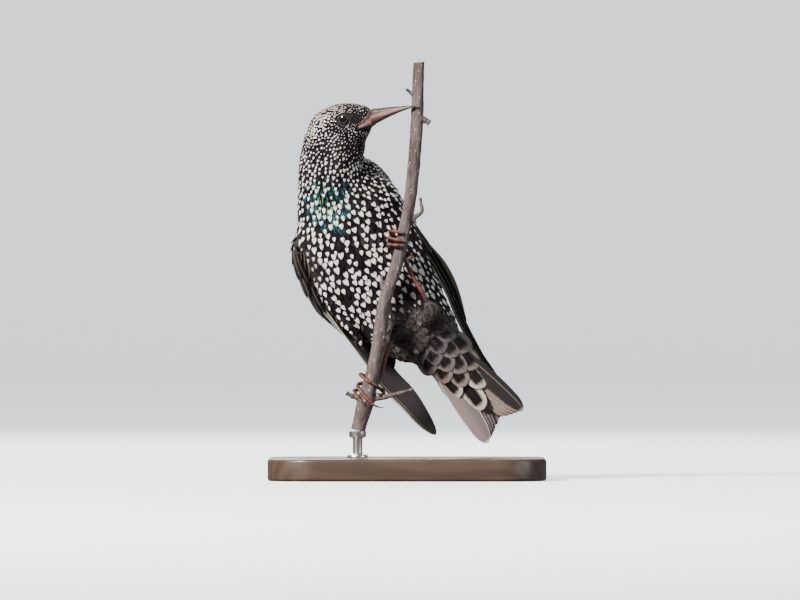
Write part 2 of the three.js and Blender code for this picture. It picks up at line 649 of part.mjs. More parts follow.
function standRod() {
  const top = STEM_FOOT - GAP;
  const cup = COLLAR_RADIUS - 1;
  const profile = [
    [0, BASE_HEIGHT + GAP], [COLLAR_RADIUS, BASE_HEIGHT + GAP], [COLLAR_RADIUS, BASE_HEIGHT + 1.6],
    [ROD_RADIUS, BASE_HEIGHT + 2.4], [ROD_RADIUS, top - COLLAR_HEIGHT], [cup, top - COLLAR_HEIGHT + 1.1],
    [cup, top], [0, top],
  ];
  const rod = new THREE.LatheGeometry(profile.map(([r, z]) => new THREE.Vector2(r, z)), 16);
  rod.rotateX(Math.PI / 2);
  rod.translate(-26.6, -0.4, 0);
  return solid(rod);
}

// Finishes
const PLUMAGE = { color: 0x1d1a20, roughness: 0.5, metalness: 0.1 };
const VANES = { color: 0x3a302b, roughness: 0.6, metalness: 0 };
const BILL_HORN = { color: 0x6e564e, roughness: 0.4, metalness: 0 };
const EYE_DARK = { color: 0x0c0807, roughness: 0.08, metalness: 0 };
const LEG_SKIN = { color: 0x94473a, roughness: 0.5, metalness: 0 };
const CLAW_HORN = { color: 0x2e2320, roughness: 0.4, metalness: 0 };
const BARK = { color: 0x8a756c, roughness: 0.85, metalness: 0 };
const STEEL = { color: 0x9a9a98, roughness: 0.35, metalness: 1 };
const BASE_WOOD = { color: 0x4a3426, roughness: 0.5, metalness: 0 };

function bird() {
  const pieces = [];
  const add = (name, body, finish) => pieces.push(sheet(name, body, finish));

  const beds = wingBed(RIGHT_WING).add(wingBed(LEFT_WING));
  const whole = headAndTrunk().subtract(beds);
  const billPlane = onHead(BILL_BASE, 0, 0);
  const nape = [v3(-39, 12, 180.4), v3(-0.16, 0.16, 1)];
  const shoulders = [v3(-37, 20, 162.8), v3(0.12, 0.3, 1)];
  const rump = [v3(13.5, 29.5, 74.2), v3(-0.632, 0, 0.775)];
  const headless = below(whole, ...nape);
  add('head', below(above(whole, ...nape), billPlane, FORWARD), PLUMAGE);
  add('neck', above(headless, ...shoulders), PLUMAGE);
  const sockets = {};
  for (const [side, leg] of Object.entries(LEGS)) sockets[side] = tarsus(leg.tarsus, GAP);
  let lower = below(headless, ...shoulders);
  for (const socket of Object.values(sockets)) lower = lower.subtract(socket);
  add('torso', above(lower, ...rump), PLUMAGE);
  add('tail', fuse([below(lower, ...rump), ...rectrices(), ...tailCoverts()]), VANES);

  const [upper, under] = bill();
  add('bill_upper', upper.subtract(nostril(1)).subtract(nostril(-1)), BILL_HORN);
  add('bill_lower', under, BILL_HORN);
  for (const [name, side] of Object.entries(EYES)) add(name, eyeball(side, 0), EYE_DARK);
  add('wing_right', wing(RIGHT_WING), VANES);
  add('wing_left', wing(LEFT_WING), VANES);

  const bark = wholeStem(GAP);
  const skin = trunkOf(GAP);
  for (const [side, leg] of Object.entries(LEGS)) {
    add(`thigh_${side}`, largest(thigh(leg.thigh).subtract(skin).subtract(sockets[side])), PLUMAGE);
    add(`tarsus_${side}`, tarsus(leg.tarsus, 0), LEG_SKIN);
    const toes = fuse(leg.toes.map(toe)).subtract(sockets[side]);
    add(`foot_${side}`, largest(toes.subtract(bark)), LEG_SKIN);
    leg.toes.forEach((path, i) => {
      add(`claw_${side}_${i + 1}`, largest(claw(path).subtract(bark)), CLAW_HORN);
    });
  }
  return pieces;
}

const model = new THREE.Group();
const upright = new THREE.Group();
upright.position.set(0, PERCH_SETBACK, 0);
upright.add(...bird(), sheet('perch', perch(), BARK), sheet('stand_rod', standRod(), STEEL));
model.add(upright, sheet('stand_base', standBase(), BASE_WOOD));

export default model;
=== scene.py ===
# %% [markdown]
# # A starling on its stem
# This notebook dresses a measured model of a starling: its skin, some thousands of feathers, its bill,
# eyes and feet, and the stem and stand that carry it. The measured solids stay where they are. Each is
# either given a better finish or replaced by a finer piece that lies in the same place.

# %% Load the measured model
import math
import bpy
import numpy as np
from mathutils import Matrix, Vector
from mathutils.bvhtree import BVHTree
from mathutils.kdtree import KDTree


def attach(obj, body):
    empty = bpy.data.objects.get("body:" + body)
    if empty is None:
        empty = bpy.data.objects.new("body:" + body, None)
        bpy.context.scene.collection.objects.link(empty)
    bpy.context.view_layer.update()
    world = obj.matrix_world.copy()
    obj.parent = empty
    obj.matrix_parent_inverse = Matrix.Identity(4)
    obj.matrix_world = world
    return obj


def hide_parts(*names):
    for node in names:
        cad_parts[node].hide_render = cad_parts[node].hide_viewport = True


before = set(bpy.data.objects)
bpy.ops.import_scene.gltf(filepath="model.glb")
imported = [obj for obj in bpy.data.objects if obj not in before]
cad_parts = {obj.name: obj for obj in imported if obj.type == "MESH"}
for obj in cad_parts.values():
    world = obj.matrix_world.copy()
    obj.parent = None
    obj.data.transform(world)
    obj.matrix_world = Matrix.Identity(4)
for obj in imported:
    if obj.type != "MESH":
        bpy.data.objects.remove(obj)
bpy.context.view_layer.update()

SEED = 20
rng = np.random.default_rng(SEED)
print("nodes:", len(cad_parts))

# %% [markdown]
# ## Measures
# All shapes below are worked out in millimetres in the bird's own frame, as they would be on a drawing
# board: x to the right of the picture, y away from the viewer, z up. Blender works in metres, and the stem
# stands a little in front of the middle of the base, so one helper carries points over.

# %% Measures and places
MM = 0.001
SETBACK = np.array([0.0, -0.024, 0.0])
BACK = np.array([0.0, 1.0, 0.0])


def metres(points):
    return np.asarray(points, float) * MM + SETBACK


def millimetres(points):
    return (np.asarray(points, float) - SETBACK) / MM


def unit(vectors):
    length = np.linalg.norm(vectors, axis=-1, keepdims=True)
    return vectors / np.maximum(length, 1e-9)


def smoothstep(low, high, value):
    share = np.clip((value - low) / (high - low), 0, 1)
    return share * share * (3 - 2 * share)


def reading(rows):
    """A smooth reading of a short table of (where, value) rows."""
    where, value = np.array(rows, float).T
    slope = np.gradient(value, where)

    def read(at):
        at = np.clip(np.asarray(at, float), where[0], where[-1])
        i = np.clip(np.searchsorted(where, at, side="right") - 1, 0, len(where) - 2)
        step = where[i + 1] - where[i]
        x = (at - where[i]) / step
        low, high = value[i], value[i + 1]
        rise = (2 * x**3 - 3 * x**2 + 1) * low + (3 * x**2 - 2 * x**3) * high
        return rise + (x**3 - 2 * x**2 + x) * step * slope[i] + (x**3 - x**2) * step * slope[i + 1]

    return read


class Path:
    """A smooth curve through points, read by length along it."""

    def __init__(self, points, samples=400):
        points = np.array(points, float)
        knots = np.concatenate([[0], np.cumsum(np.linalg.norm(np.diff(points, axis=0), axis=1) ** 0.5)])
        fine = np.linspace(0, knots[-1], samples)
        self.points = np.stack([reading(np.c_[knots, axis])(fine) for axis in points.T], axis=-1)
        steps = np.linalg.norm(np.diff(self.points, axis=0), axis=1)
        self.along = np.concatenate([[0], np.cumsum(steps)])
        self.length = self.along[-1]
        self.tangents = unit(np.gradient(self.points, self.along, axis=0))

    def at(self, s):
        s = np.asarray(s, float)
        inside = np.clip(s, 0, self.length)
        point = np.stack([np.interp(inside, self.along, axis) for axis in self.points.T], axis=-1)
        return point + self.tangent(s) * (s - inside)[..., None]

    def tangent(self, s):
        inside = np.clip(s, 0, self.length)
        return unit(np.stack([np.interp(inside, self.along, axis) for axis in self.tangents.T], axis=-1))


# %% [markdown]
# The head has a frame of its own: forward along the bill, left away from the viewer and up through the
# crown. A point on the face is then named as a person would name it, such as so far forward and so far up.

# %% The head's own frame
HEAD_CENTRE = np.array([-36.2, 10.0, 192.4])
HEAD_YAW = math.radians(14)
HEAD_PITCH = math.radians(11.7)
FORWARD = np.array([
    math.cos(HEAD_YAW) * math.cos(HEAD_PITCH),
    -math.sin(HEAD_YAW) * math.cos(HEAD_PITCH),
    math.sin(HEAD_PITCH),
])
LEFT = np.array([math.sin(HEAD_YAW), math.cos(HEAD_YAW), 0.0])
UP = np.cross(FORWARD, LEFT)
EYE_AT = (5.1, 8.35, 1.3)  # forward, to the side and up from the middle of the head
EYE_RADIUS = 4.2


def on_head(forward, left, up):
    forward, left, up = np.broadcast_arrays(forward, left, up)
    return HEAD_CENTRE + forward[..., None] * FORWARD + left[..., None] * LEFT + up[..., None] * UP


def from_head(points):
    offset = points - HEAD_CENTRE
    return offset @ FORWARD, offset @ LEFT, offset @ UP


def eye_centre(side):
    return on_head(EYE_AT[0], side * EYE_AT[1], EYE_AT[2])


# %% [markdown]
# ## Camera, floor and light
# The picture was taken from far off with a long lens, level with the bird. The camera stands 6 m in front
# of it, and its lens is chosen so that 1.85 pixels of an 800 pixel wide picture cover one millimetre at the
# bird. The floor is a round sheet of pale paper that turns up all round, as in a studio, so that no
# horizon cuts the picture from any side.

# %% Camera
PICTURE_WIDTH = 800
PICTURE_HEIGHT = 600
PIXELS_PER_MM = 1.85
BASE_PIXEL = (407, 480)  # where the middle of the base's underside falls in the picture
CAMERA_DISTANCE = 6.0
SENSOR = 36
FARTHEST = 40  # metres that the camera sees


def add_camera():
    wide = PICTURE_WIDTH / PIXELS_PER_MM * MM
    x = (PICTURE_WIDTH / 2 - BASE_PIXEL[0]) / PIXELS_PER_MM * MM
    z = (BASE_PIXEL[1] - PICTURE_HEIGHT / 2) / PIXELS_PER_MM * MM
    bpy.ops.object.camera_add(location=(x, -CAMERA_DISTANCE, z), rotation=(math.pi / 2, 0, 0))
    camera = bpy.context.object
    camera.data.sensor_width = SENSOR
    camera.data.lens = SENSOR * CAMERA_DISTANCE / wide
    camera.data.clip_end = FARTHEST
    bpy.context.scene.camera = camera
    print(f"camera: lens {camera.data.lens:.0f} mm, {z / MM:.0f} mm above the floor")


add_camera()


# %% [markdown]
# Small habits save trouble in a script. Loading leaves every node selected, and an operator acts on all that
# is selected, so each step begins by selecting only what it is about.

# %% Selecting, applying and finishing
def only(*pieces):
    bpy.ops.object.select_all(action="DESELECT")
    for piece in pieces:
        piece.select_set(True)
    bpy.context.view_layer.objects.active = pieces[0]
    return pieces[0]


def edit(piece, select=True):
    only(piece)
    bpy.ops.object.mode_set(mode="EDIT")
    bpy.ops.mesh.select_mode(type="VERT")
    bpy.ops.mesh.select_all(action="SELECT" if select else "DESELECT")


def done():
    bpy.ops.object.mode_set(mode="OBJECT")


def modify(piece, kind, **settings):
    modifier = piece.modifiers.new(kind.lower(), kind)
    for name, value in settings.items():
        setattr(modifier, name, value)
    only(piece)
    bpy.ops.object.modifier_apply(modifier=modifier.name)


def corners(piece):
    found = np.empty(len(piece.data.vertices) * 3, np.float32)
    piece.data.vertices.foreach_get("co", found)
    return found.reshape(-1, 3).astype(float)


def move_corners(piece, points):
    piece.data.vertices.foreach_set("co", np.asarray(points, np.float32).ravel())
    piece.data.update()


def join(pieces):
    only(*pieces)
    if len(pieces) > 1:
        bpy.ops.object.join()
    return bpy.context.object


def settle(piece):
    """Puts the object itself at the origin, unturned, with its place in its mesh."""
    only(piece)
    bpy.ops.object.transform_apply(location=True, rotation=True, scale=True)


def finish(piece, name, material, replaces=(), angle=60):
    settle(piece)
    piece.name = name
    piece.data.name = name
    only(piece)
    bpy.ops.object.shade_smooth_by_angle(angle=math.radians(angle))
    piece.data.materials.clear()
    piece.data.materials.append(material)
    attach(piece, "root")
    if replaces:
        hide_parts(*replaces)
    triangles = sum(len(face.vertices) - 2 for face in piece.data.polygons)
    print(f"{name}: {triangles} triangles")
    return piece


# %% Floor and light
FLOOR_RADIUS = 8
TURN_STEPS = 12  # strips in the turn from the floor to the wall
TURN_RISE = 0.4
TURN_SPREAD = 0.05
WALL_HEIGHT = 8


def add_floor(material):
    bpy.ops.object.select_all(action="DESELECT")
    bpy.ops.mesh.primitive_circle_add(vertices=96, radius=FLOOR_RADIUS, fill_type="NGON")
    floor = bpy.context.object
    edit(floor)
    bpy.ops.mesh.select_mode(type="EDGE")
    bpy.ops.mesh.region_to_loop()
    for step in range(1, TURN_STEPS + 1):
        lean = math.radians(90 * step / TURN_STEPS)
        rise = TURN_RISE * math.sin(lean)
        wider = 1 + TURN_SPREAD * math.cos(lean)
        bpy.ops.mesh.extrude_edges_move(TRANSFORM_OT_translate={"value": (0, 0, rise)})
        bpy.ops.transform.resize(value=(wider, wider, 1), center_override=(0, 0, 0))
    bpy.ops.mesh.extrude_edges_move(TRANSFORM_OT_translate={"value": (0, 0, WALL_HEIGHT)})
    done()
    bpy.ops.object.shade_smooth()
    floor.name = "floor"
    floor.data.materials.append(material)
    floor.visible_diffuse = False
    floor.visible_glossy = False


LIGHTS = [  # place, size, watts, colour
    ((-1.65, -1.7, 1.55), 0.6, 255, (1.0, 0.97, 0.93)),
    ((1.7, -0.9, 0.5), 1.2, 16, (0.92, 0.96, 1.0)),
    ((-0.3, 1.6, 1.2), 1.0, 40, (0.95, 0.97, 1.0)),
]
LIT_PLACE = (0, 0, 0.12)
SKY_COLOUR = (0.80, 0.86, 0.93, 1)
SKY_STRENGTH = 0.24


def add_lights():
    for place, size, watts, colour in LIGHTS:
        bpy.ops.object.light_add(type="AREA", location=place)
        lamp = bpy.context.object
        lamp.data.size = size
        lamp.data.energy = watts
        lamp.data.color = colour
        aim = Vector(LIT_PLACE) - Vector(place)
        lamp.rotation_euler = aim.to_track_quat("-Z", "Y").to_euler()
    world = bpy.data.worlds.new("studio")
    world.use_nodes = True
    sky = world.node_tree.nodes["Background"]
    sky.inputs["Color"].default_value = SKY_COLOUR
    sky.inputs["Strength"].default_value = SKY_STRENGTH
    bpy.context.scene.world = world
    print("lights:", len(LIGHTS))


add_lights()


# %% [markdown]
# ## A shorthand for materials
# A material is a chain of nodes, and arithmetic between them is slow to read when it is drawn. Here each
# socket is wrapped in a small class that knows how to add, subtract, multiply and divide, so that a mask is
# written the way it is thought of, such as `1 - mask`.

# %% Sockets that can be used in arithmetic
class Value:
    """A socket that can be used in sums."""

    def __init__(self, owner, socket):
        self.owner = owner
        self.socket = socket

    def step(self, low, high):
        settings = {"interpolation_type": "SMOOTHSTEP"}
        return self.owner.node("ShaderNodeMapRange", settings, self, low, high, 0.0, 1.0)


def arithmetic(operation, swapped=False):
    """A method that puts a math node behind a value, and behind the other one if there is one."""
    def method(self, *others):
        terms = (*others, self) if swapped else (self, *others)
        return self.owner.node("ShaderNodeMath", {"operation": operation}, *terms)

    return method


SIGNS = {"add": "ADD", "sub": "SUBTRACT", "mul": "MULTIPLY", "truediv": "DIVIDE", "pow": "POWER"}
for sign, operation in SIGNS.items():
    setattr(Value, f"__{sign}__", arithmetic(operation))
    setattr(Value, f"__r{sign}__", arithmetic(operation, swapped=True))
Value.__abs__ = arithmetic("ABSOLUTE")
Value.least = arithmetic("MINIMUM")
Value.most = arithmetic("MAXIMUM")
Value.sine = arithmetic("SINE")


class Finish:
    """A material under construction."""

    def __init__(self, name):
        self.material = bpy.data.materials.new(name)
        self.material.use_nodes = True
        self.tree = self.material.node_tree
        self.tree.nodes.clear()
        self.shader = self.tree.nodes.new("ShaderNodeBsdfPrincipled")
        output = self.tree.nodes.new("ShaderNodeOutputMaterial")
        self.tree.links.new(self.shader.outputs[0], output.inputs[0])

    def _plug(self, socket, value):
        if isinstance(value, Value):
            self.tree.links.new(value.socket, socket)
        elif hasattr(socket.default_value, "__len__"):
            value = tuple(value)
            socket.default_value = value + (1.0,) * (len(socket.default_value) - len(value))
        else:
            socket.default_value = value

    def node(self, kind, settings=None, *values, out=0, **named):
        made = self.tree.nodes.new(kind)
        for key, value in (settings or {}).items():
            setattr(made, key, value)
        for socket, value in zip(made.inputs, values):
            if value is not None:
                self._plug(socket, value)
        for key, value in named.items():
            self._plug(made.inputs[key.replace("_", " ")], value)
        return Value(self, made.outputs[out])

    def mix(self, factor, first, second):
        made = self.tree.nodes.new("ShaderNodeMix")
        made.data_type = "RGBA"
        self._plug(made.inputs[0], factor)
        self._plug(made.inputs[6], first)
        self._plug(made.inputs[7], second)
        return Value(self, made.outputs[2])

    def parts(self, vector):
        return [self.node("ShaderNodeSeparateXYZ", None, vector, out=i) for i in range(3)]

    def place(self):
        return self.node("ShaderNodeTexCoord", out=3)

    def map(self, name):
        return self.node("ShaderNodeUVMap", {"uv_map": name})

    def attribute(self, name):
        made = self.tree.nodes.new("ShaderNodeAttribute")
        made.attribute_name = name
        split = self.tree.nodes.new("ShaderNodeSeparateColor")
        self.tree.links.new(made.outputs["Color"], split.inputs[0])
        return [Value(self, split.outputs[i]) for i in range(3)] + [Value(self, made.outputs["Alpha"])]

    def stretched(self, vector, scale):
        return self.node("ShaderNodeVectorMath", {"operation": "MULTIPLY"}, vector, scale)

    def noise(self, vector, scale, detail=3.0, rough=0.55):
        settings = dict(Vector=vector, Scale=scale, Detail=detail, Roughness=rough)
        return self.node("ShaderNodeTexNoise", None, **settings)

    def cells(self, vector, scale):
        return self.node("ShaderNodeTexVoronoi", None, Vector=vector, Scale=scale)

    def ramp(self, value, stops):
        made = self.node("ShaderNodeValToRGB", None, value)
        elements = made.socket.node.color_ramp.elements
        while len(elements) < len(stops):
            elements.new(0.5)
        for element, (place, colour) in zip(elements, stops):
            element.position = place
            element.color = (*colour, 1)
        return made

    def bump(self, height, distance, strength=1.0):
        return self.node("ShaderNodeBump", None, Strength=strength, Distance=distance, Height=height)

    def feed(self, **named):
        for key, value in named.items():
            self._plug(self.shader.inputs[key.replace("_", " ")], value)
        return self.material


# %% [markdown]
# ## Feather finishes
# A starling's feather is black with a gloss that turns from purple to green, and in winter it ends in a pale
# drop. Each feather carries its own flat map, with its root at y = 0 and its tip at y = 1, and two sets of
# numbers: `Marks` holds the size and warmth of the pale drop, the hue of the gloss and a random number, and
# `Tints` says how dull the feather is, how plainly its drop shows, which also carries painted shade that dims
# the drops on the shaded parts of the body, and how long and how skewed the drop is. One material then paints
# every feather differently.

# %% The body's feathers
PALE = (0.95, 0.92, 0.89)
TAN = (0.52, 0.36, 0.23)
GLOSS_STOPS = [
    (0.0, (0.0100, 0.0045, 0.0080)), (0.3, (0.0050, 0.0025, 0.0045)), (0.46, (0.0025, 0.0025, 0.0035)),
    (0.58, (0.006, 0.06, 0.12)), (0.74, (0.02, 0.38, 0.38)), (1.0, (0.30, 0.62, 0.26)),
]
DOWN = (0.12, 0.096, 0.09)


def body_feather_finish():
    f = Finish("starling_feather")
    x, y, _ = f.parts(f.map("Vane"))
    size, warmth, hue, chance = f.attribute("Marks")
    dull, drop_shown_and_shade, stretch, skew = f.attribute("Tints")
    across = (x - 0.5) * 2
    long = size * (0.28 + stretch * 0.24)
    middle = 1.02 - long
    t = (y - middle) / long
    drop = (across + (skew - 0.5) * 0.4 * size) / size * (1 + t * 0.14)
    heart = t - (1 - abs(drop) * 1.6).most(0.0) * (1 - t.step(-0.6, 0.5)) * chance * 0.5
    edge = drop * drop + heart * heart
    shift = f.node("ShaderNodeCombineXYZ", None, chance * 37, chance * 91, 0.0)
    own = f.node("ShaderNodeVectorMath", {"operation": "ADD"}, f.map("Vane"), shift)
    streak = f.noise(f.stretched(own, (34, 3.2, 1)), 1.0, 4.0, 0.7)
    ragged = f.noise(f.stretched(own, (14, 8, 1)), 1.0) * 0.8 + (streak - 0.5) * 0.7
    spot = (edge + ragged).step(1.65, 1.15) * size.step(0.02, 0.06)
    lines = f.noise(f.stretched(own, (11, 1.1, 1)), 1.0, 2.0, 0.6).step(0.52, 0.60)
    barbs = ((y * 120 - abs(across) * 46) + streak * 3).sine()
    sheen = hue * (0.3 + lines * 0.7)
    mottle = f.noise(f.place(), 330.0, 4.0, 0.75)
    rim = (streak * 0.9 + mottle * 0.9 + abs(across) * 0.3 + y * 0.4).step(0.95, 1.6)
    down = f.mix(rim, (0.012, 0.008, 0.008), f.mix(chance * 0.6, DOWN, (0.26, 0.225, 0.205)))
    dark = f.mix(dull, f.ramp(sheen, GLOSS_STOPS), down)
    dark = f.mix(barbs.step(-1, 1) * 0.35, dark, (0.002, 0.002, 0.003))
    pale = f.mix(warmth, PALE, TAN)
    pale = f.mix((streak * 1.4).step(0.35, 0.9) * 0.3, pale, (0.35, 0.29, 0.25))
    colour = f.mix(spot * drop_shown_and_shade, dark, pale)
    gloss = (1 - spot) * (1 - dull) * (0.15 + sheen * 0.6)
    return f.feed(
        Base_Color=colour, Metallic=gloss, Roughness=0.40 + spot * 0.3 + dull * 0.2 + streak * 0.1,
        Specular_IOR_Level=0.12, Normal=f.bump(barbs * 0.5 + streak, 0.00012, 0.5))


# %% [markdown]
# Flight feathers, tail feathers and their coverts are dark brown with a pale edge: on the outer web alone for
# the long ones, and all round the tip for coverts. Their undersides are a plain greyish mauve, near black
# where the gloss is set low, which on the tail's right lobe is painted shadow. Barbs leave the shaft at a
# slant, and show as fine ridges that catch the light. Here the two sets of numbers hold the width and warmth
# of the edge, the gloss and a random number, then whether both webs are edged, which face is the underside,
# where the shaft lies and how wide the tip's edge is. An edge wide enough to cover a whole feather paints
# sunlight on the tail's right lobe.

# %% The long feathers
# The two greys paint a cream edge in shade; they serve mostly the tail coverts near the vent.
EDGE_STOPS = [  # cream, tan, then two greys
    (0.0, (0.68, 0.60, 0.52)), (0.5, (0.40, 0.29, 0.21)), (0.8, (0.21, 0.17, 0.165)),
    (1.0, (0.12, 0.10, 0.102))]


def vane_finish():
    f = Finish("starling_vane")
    x, y, _ = f.parts(f.map("Vane"))
    border, warmth, gloss, chance = f.attribute("Marks")
    both, under, shaft, tip_border = f.attribute("Tints")
    from_edge = x.least(1 - x)
    side = x + (from_edge - x) * both
    uneven = f.noise(f.stretched(f.map("Vane"), (3, 26, 1)), 1.0) - 0.5
    edge = 1 - (side + uneven * border * 0.7).step(border * 0.5, border * 1.25)
    tip = 1 - ((1 - y) + uneven * tip_border * 0.8).step(tip_border * 0.4, tip_border * 1.3 + 0.0001)
    inside = (from_edge + 1 - both).step(-0.005, 0.008)
    pale_mask = (edge + tip).least(1.0) * border.step(0.005, 0.02) * inside
    slant = abs(x - shaft)
    barbs = ((y * 260 - slant * 60) + f.noise(f.stretched(f.map("Vane"), (4, 20, 1)), 1.0) * 4).sine()
    ridge = 1 - slant.step(0.012, 0.035)
    dark = f.mix(gloss, (0.011, 0.007, 0.006), (0.004, 0.005, 0.005))
    dark = f.mix(chance * 0.5, dark, (0.019, 0.012, 0.010))
    # A low gloss leaves the underside near black; on the tail's right lobe this is painted shadow.
    below = f.mix(gloss, (0.013, 0.009, 0.010), f.mix(chance, (0.15, 0.112, 0.114), (0.22, 0.17, 0.165)))
    below = f.mix(slant.step(0.05, 0.5) * 0.4 * gloss, below, (0.055, 0.042, 0.043))
    plain = f.mix(under, dark, below)
    plain = f.mix(barbs.step(-1, 1) * 0.22, plain, (0.008, 0.006, 0.006))
    pale = f.ramp(warmth, EDGE_STOPS)
    colour = f.mix(pale_mask * (0.92 - under * 0.25), plain, pale)
    quill = f.mix(under, (0.03, 0.02, 0.017), (0.20, 0.155, 0.135))
    colour = f.mix(ridge * (0.5 + under * 0.2), colour, quill)
    rough = 0.40 + pale_mask * 0.2 + under * 0.14 + barbs * 0.04
    return f.feed(
        Base_Color=colour, Metallic=(1 - pale_mask) * (1 - under) * 0.28, Roughness=rough,
        Specular_IOR_Level=0.25, Normal=f.bump(barbs * 0.6 + ridge * 1.5, 0.00014, 0.55))


FEATHER = body_feather_finish()
VANE = vane_finish()
print("feather finishes made")


# %% [markdown]
# ## The skin
# Under the feathers is one closed skin. It is made from the measured solids of the head, neck, body and
# thighs, with the flesh of the shoulders, the two folded wings and the tail added. A voxel remesh melts them
# into one surface with no seams, a few rounds of smoothing take out the facets, and the result is drawn
# inwards by the depth of the coat, so that the feathers' tips come out where the measured surface is.

# %% Copies of measured solids
def copy_of(node):
    piece = bpy.data.objects.new(node + "_copy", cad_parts[node].data.copy())
    bpy.context.collection.objects.link(piece)
    edit(piece)
    bpy.ops.mesh.remove_doubles(threshold=1e-6)
    done()
    return piece


def face_outward(piece):
    edit(piece)
    bpy.ops.mesh.normals_make_consistent(inside=False)
    done()
    return piece


def mould(segments, rings, place):
    """A sphere whose rings are drawn out: place(t, angle) says where each corner goes, from pole to pole."""
    bpy.ops.object.select_all(action="DESELECT")
    bpy.ops.mesh.primitive_uv_sphere_add(segments=segments, ring_count=rings, radius=1)
    piece = bpy.context.object
    ball = corners(piece)
    t = np.arccos(np.clip(-ball[:, 2], -1, 1)) / math.pi
    angle = np.arctan2(ball[:, 1], ball[:, 0])
    pole = (t < 1e-4) | (t > 1 - 1e-4)
    points = place(t, angle)
    points[pole] = (place(t, angle * 0)[pole] + place(t, angle * 0 + math.pi)[pole]) / 2
    move_corners(piece, metres(points))
    return face_outward(piece)


# %% [markdown]
# A folded wing is a curved sheet. On it, s runs from the wrist to the tip along the leading edge, t from that
# edge round the flank to the back, and h stands off the sheet. Feathers that are clear of each other in these
# measures stay clear when the sheet is bent round the body.

# %% Wing and tail sheets
WING_BEND = reading([(-10, 23), (0, 23), (45, 25), (70, 38), (100, 60), (132, 62)])


class WingSheet:
    def __init__(self, lead, turn, outward):
        self.edge = Path(lead)
        self.angle = reading([(s, math.radians(degrees)) for s, degrees in turn])
        self.out = unit(np.array(outward, float))

    def __call__(self, s, t, h):
        s, t, h = (a.astype(float) for a in np.broadcast_arrays(s, t, h))
        start = self.angle(s)
        bend = WING_BEND(s)
        end = start + t / bend
        out = bend * (np.sin(end) - np.sin(start)) + h * np.sin(end)
        back = bend * (np.cos(start) - np.cos(end)) - h * np.cos(end)
        return self.edge.at(s) + out[..., None] * self.out + back[..., None] * BACK


WINGS = {  # the leading edge, how far the sheet has turned along it, and the way out
    "right": WingSheet(
        [(-60.4, 24, 127), (-57, 21.5, 117.8), (-52, 20.5, 108), (-46, 20.5, 96), (-38.6, 22, 85),
         (-30, 24, 73.6), (-21.4, 26, 62), (-15.1, 27.5, 51.8), (-2.4, 29, 38.4), (5.2, 29.5, 29.8),
         (13.4, 30, 21)],
        [(-10, 62), (0, 62), (12, 55), (25, 50), (40, 56), (52, 74), (66, 94), (82, 106), (100, 117),
         (128, 124)],
        (-0.811, 0, -0.585)),
    "left": WingSheet(
        [(-12.4, 36.5, 161), (-4.9, 33.5, 146), (3.4, 31.5, 129.6), (12.8, 31, 114.1), (19.9, 31.4, 102),
         (27.1, 33, 86.5), (37.6, 37, 67.8), (46.7, 39.6, 56.8), (50, 40, 52.4)],
        [(-10, 64), (0, 64), (30, 50), (50, 47), (84, 60), (107, 62), (130, 64)],
        (0.866, 0, 0.501)),
}

TAIL_ROOT = np.array([12.0, 30.0, 77.5])
TAIL_AXIS = unit(np.array([0.632, 0.03, -0.775]))
TAIL_ACROSS = unit(np.array([0.775, 0.0, 0.632]))
TAIL_FRONT = np.cross(TAIL_AXIS, TAIL_ACROSS)
TAIL_FRONT = TAIL_FRONT if TAIL_FRONT[1] < 0 else -TAIL_FRONT


def on_tail(s, t, h):
    s, t, h = np.broadcast_arrays(s, t, h)
    return TAIL_ROOT + s[..., None] * TAIL_AXIS + t[..., None] * TAIL_ACROSS + h[..., None] * TAIL_FRONT


def round_tail(s, t, h):
    """The tail's sheet wrapped round, as the coverts lie about the tail's root."""
    return on_tail(s, t, h - 0.045 * t**2)


# %% [markdown]
# Each piece of flesh is moulded from a sphere. Some are pads on a wing's sheet, some fill the room between a
# wing and the body, and the shoulder and the thighs are limbs: a thickness carried along a path.

# %% Flesh of the wings, shoulders, thighs and tail
ARM = (-4.5, 43)
arm_rise = reading([(-4.5, -2.0), (-2, -0.9), (4, 0.2), (14, 0.3), (26, -0.2), (38, -0.9), (43, -1.6)])
arm_front = reading([(-4.5, 7), (-2, 3.4), (4, 1.0), (10, 0.8), (43, 1.5)])
arm_back = reading([(-4.5, 18), (-2, 23.5), (5, 30), (14, 34), (43, 34)])
flank_top = reading([(-2, -2.5), (4, -0.4), (12, 0.7), (40, 0.7), (56, 0.0), (72, -2.5)])
shoulder_top = reading([(-13, -18), (-9, -11), (-5, -5), (-1, -0.9), (4, 0.2), (9, -1)])
rump_wide = reading([(-8, 20.5), (0, 19.4), (11, 15), (24, 11.2), (33, 8), (38, 4)])
rump_front = reading([(-8, 17), (0, 15), (11, 10.8), (24, 6.6), (33, 3.8), (38, 1.5)])
rump_back = reading([(-8, 15), (0, 13.6), (11, 9.6), (24, 5.6), (33, 3.2), (38, 1.5)])
left_shoulder = Path([(-38, 18, 168), (-29, 31, 162), (-20, 42, 154), (-13, 47, 146), (-8, 49, 139)])
left_shoulder_thickness = reading([(0, 15), (0.4, 15.5), (0.7, 14.3), (1, 9)])
THIGHS = {
    "left": Path([(10, 27, 84), (11.6, 18, 88), (13.4, 11.5, 91), (11.0, 8.9, 96), (9.6, 8.3, 98.6)]),
    "right": Path([(8, 27, 86), (0, 20, 82), (-4.8, 14, 80), (-7.8, 11.6, 75.6), (-8.8, 10.8, 73)]),
}


def thigh_thickness(t):
    return 9.5 * (1 - t) ** 0.7 + 2.4


def rounded(t, power, end=0.02):
    """Nearly 1 along the middle of a piece, and small at both its ends."""
    return np.sin(math.pi * np.clip(t, end, 1 - end)) ** power


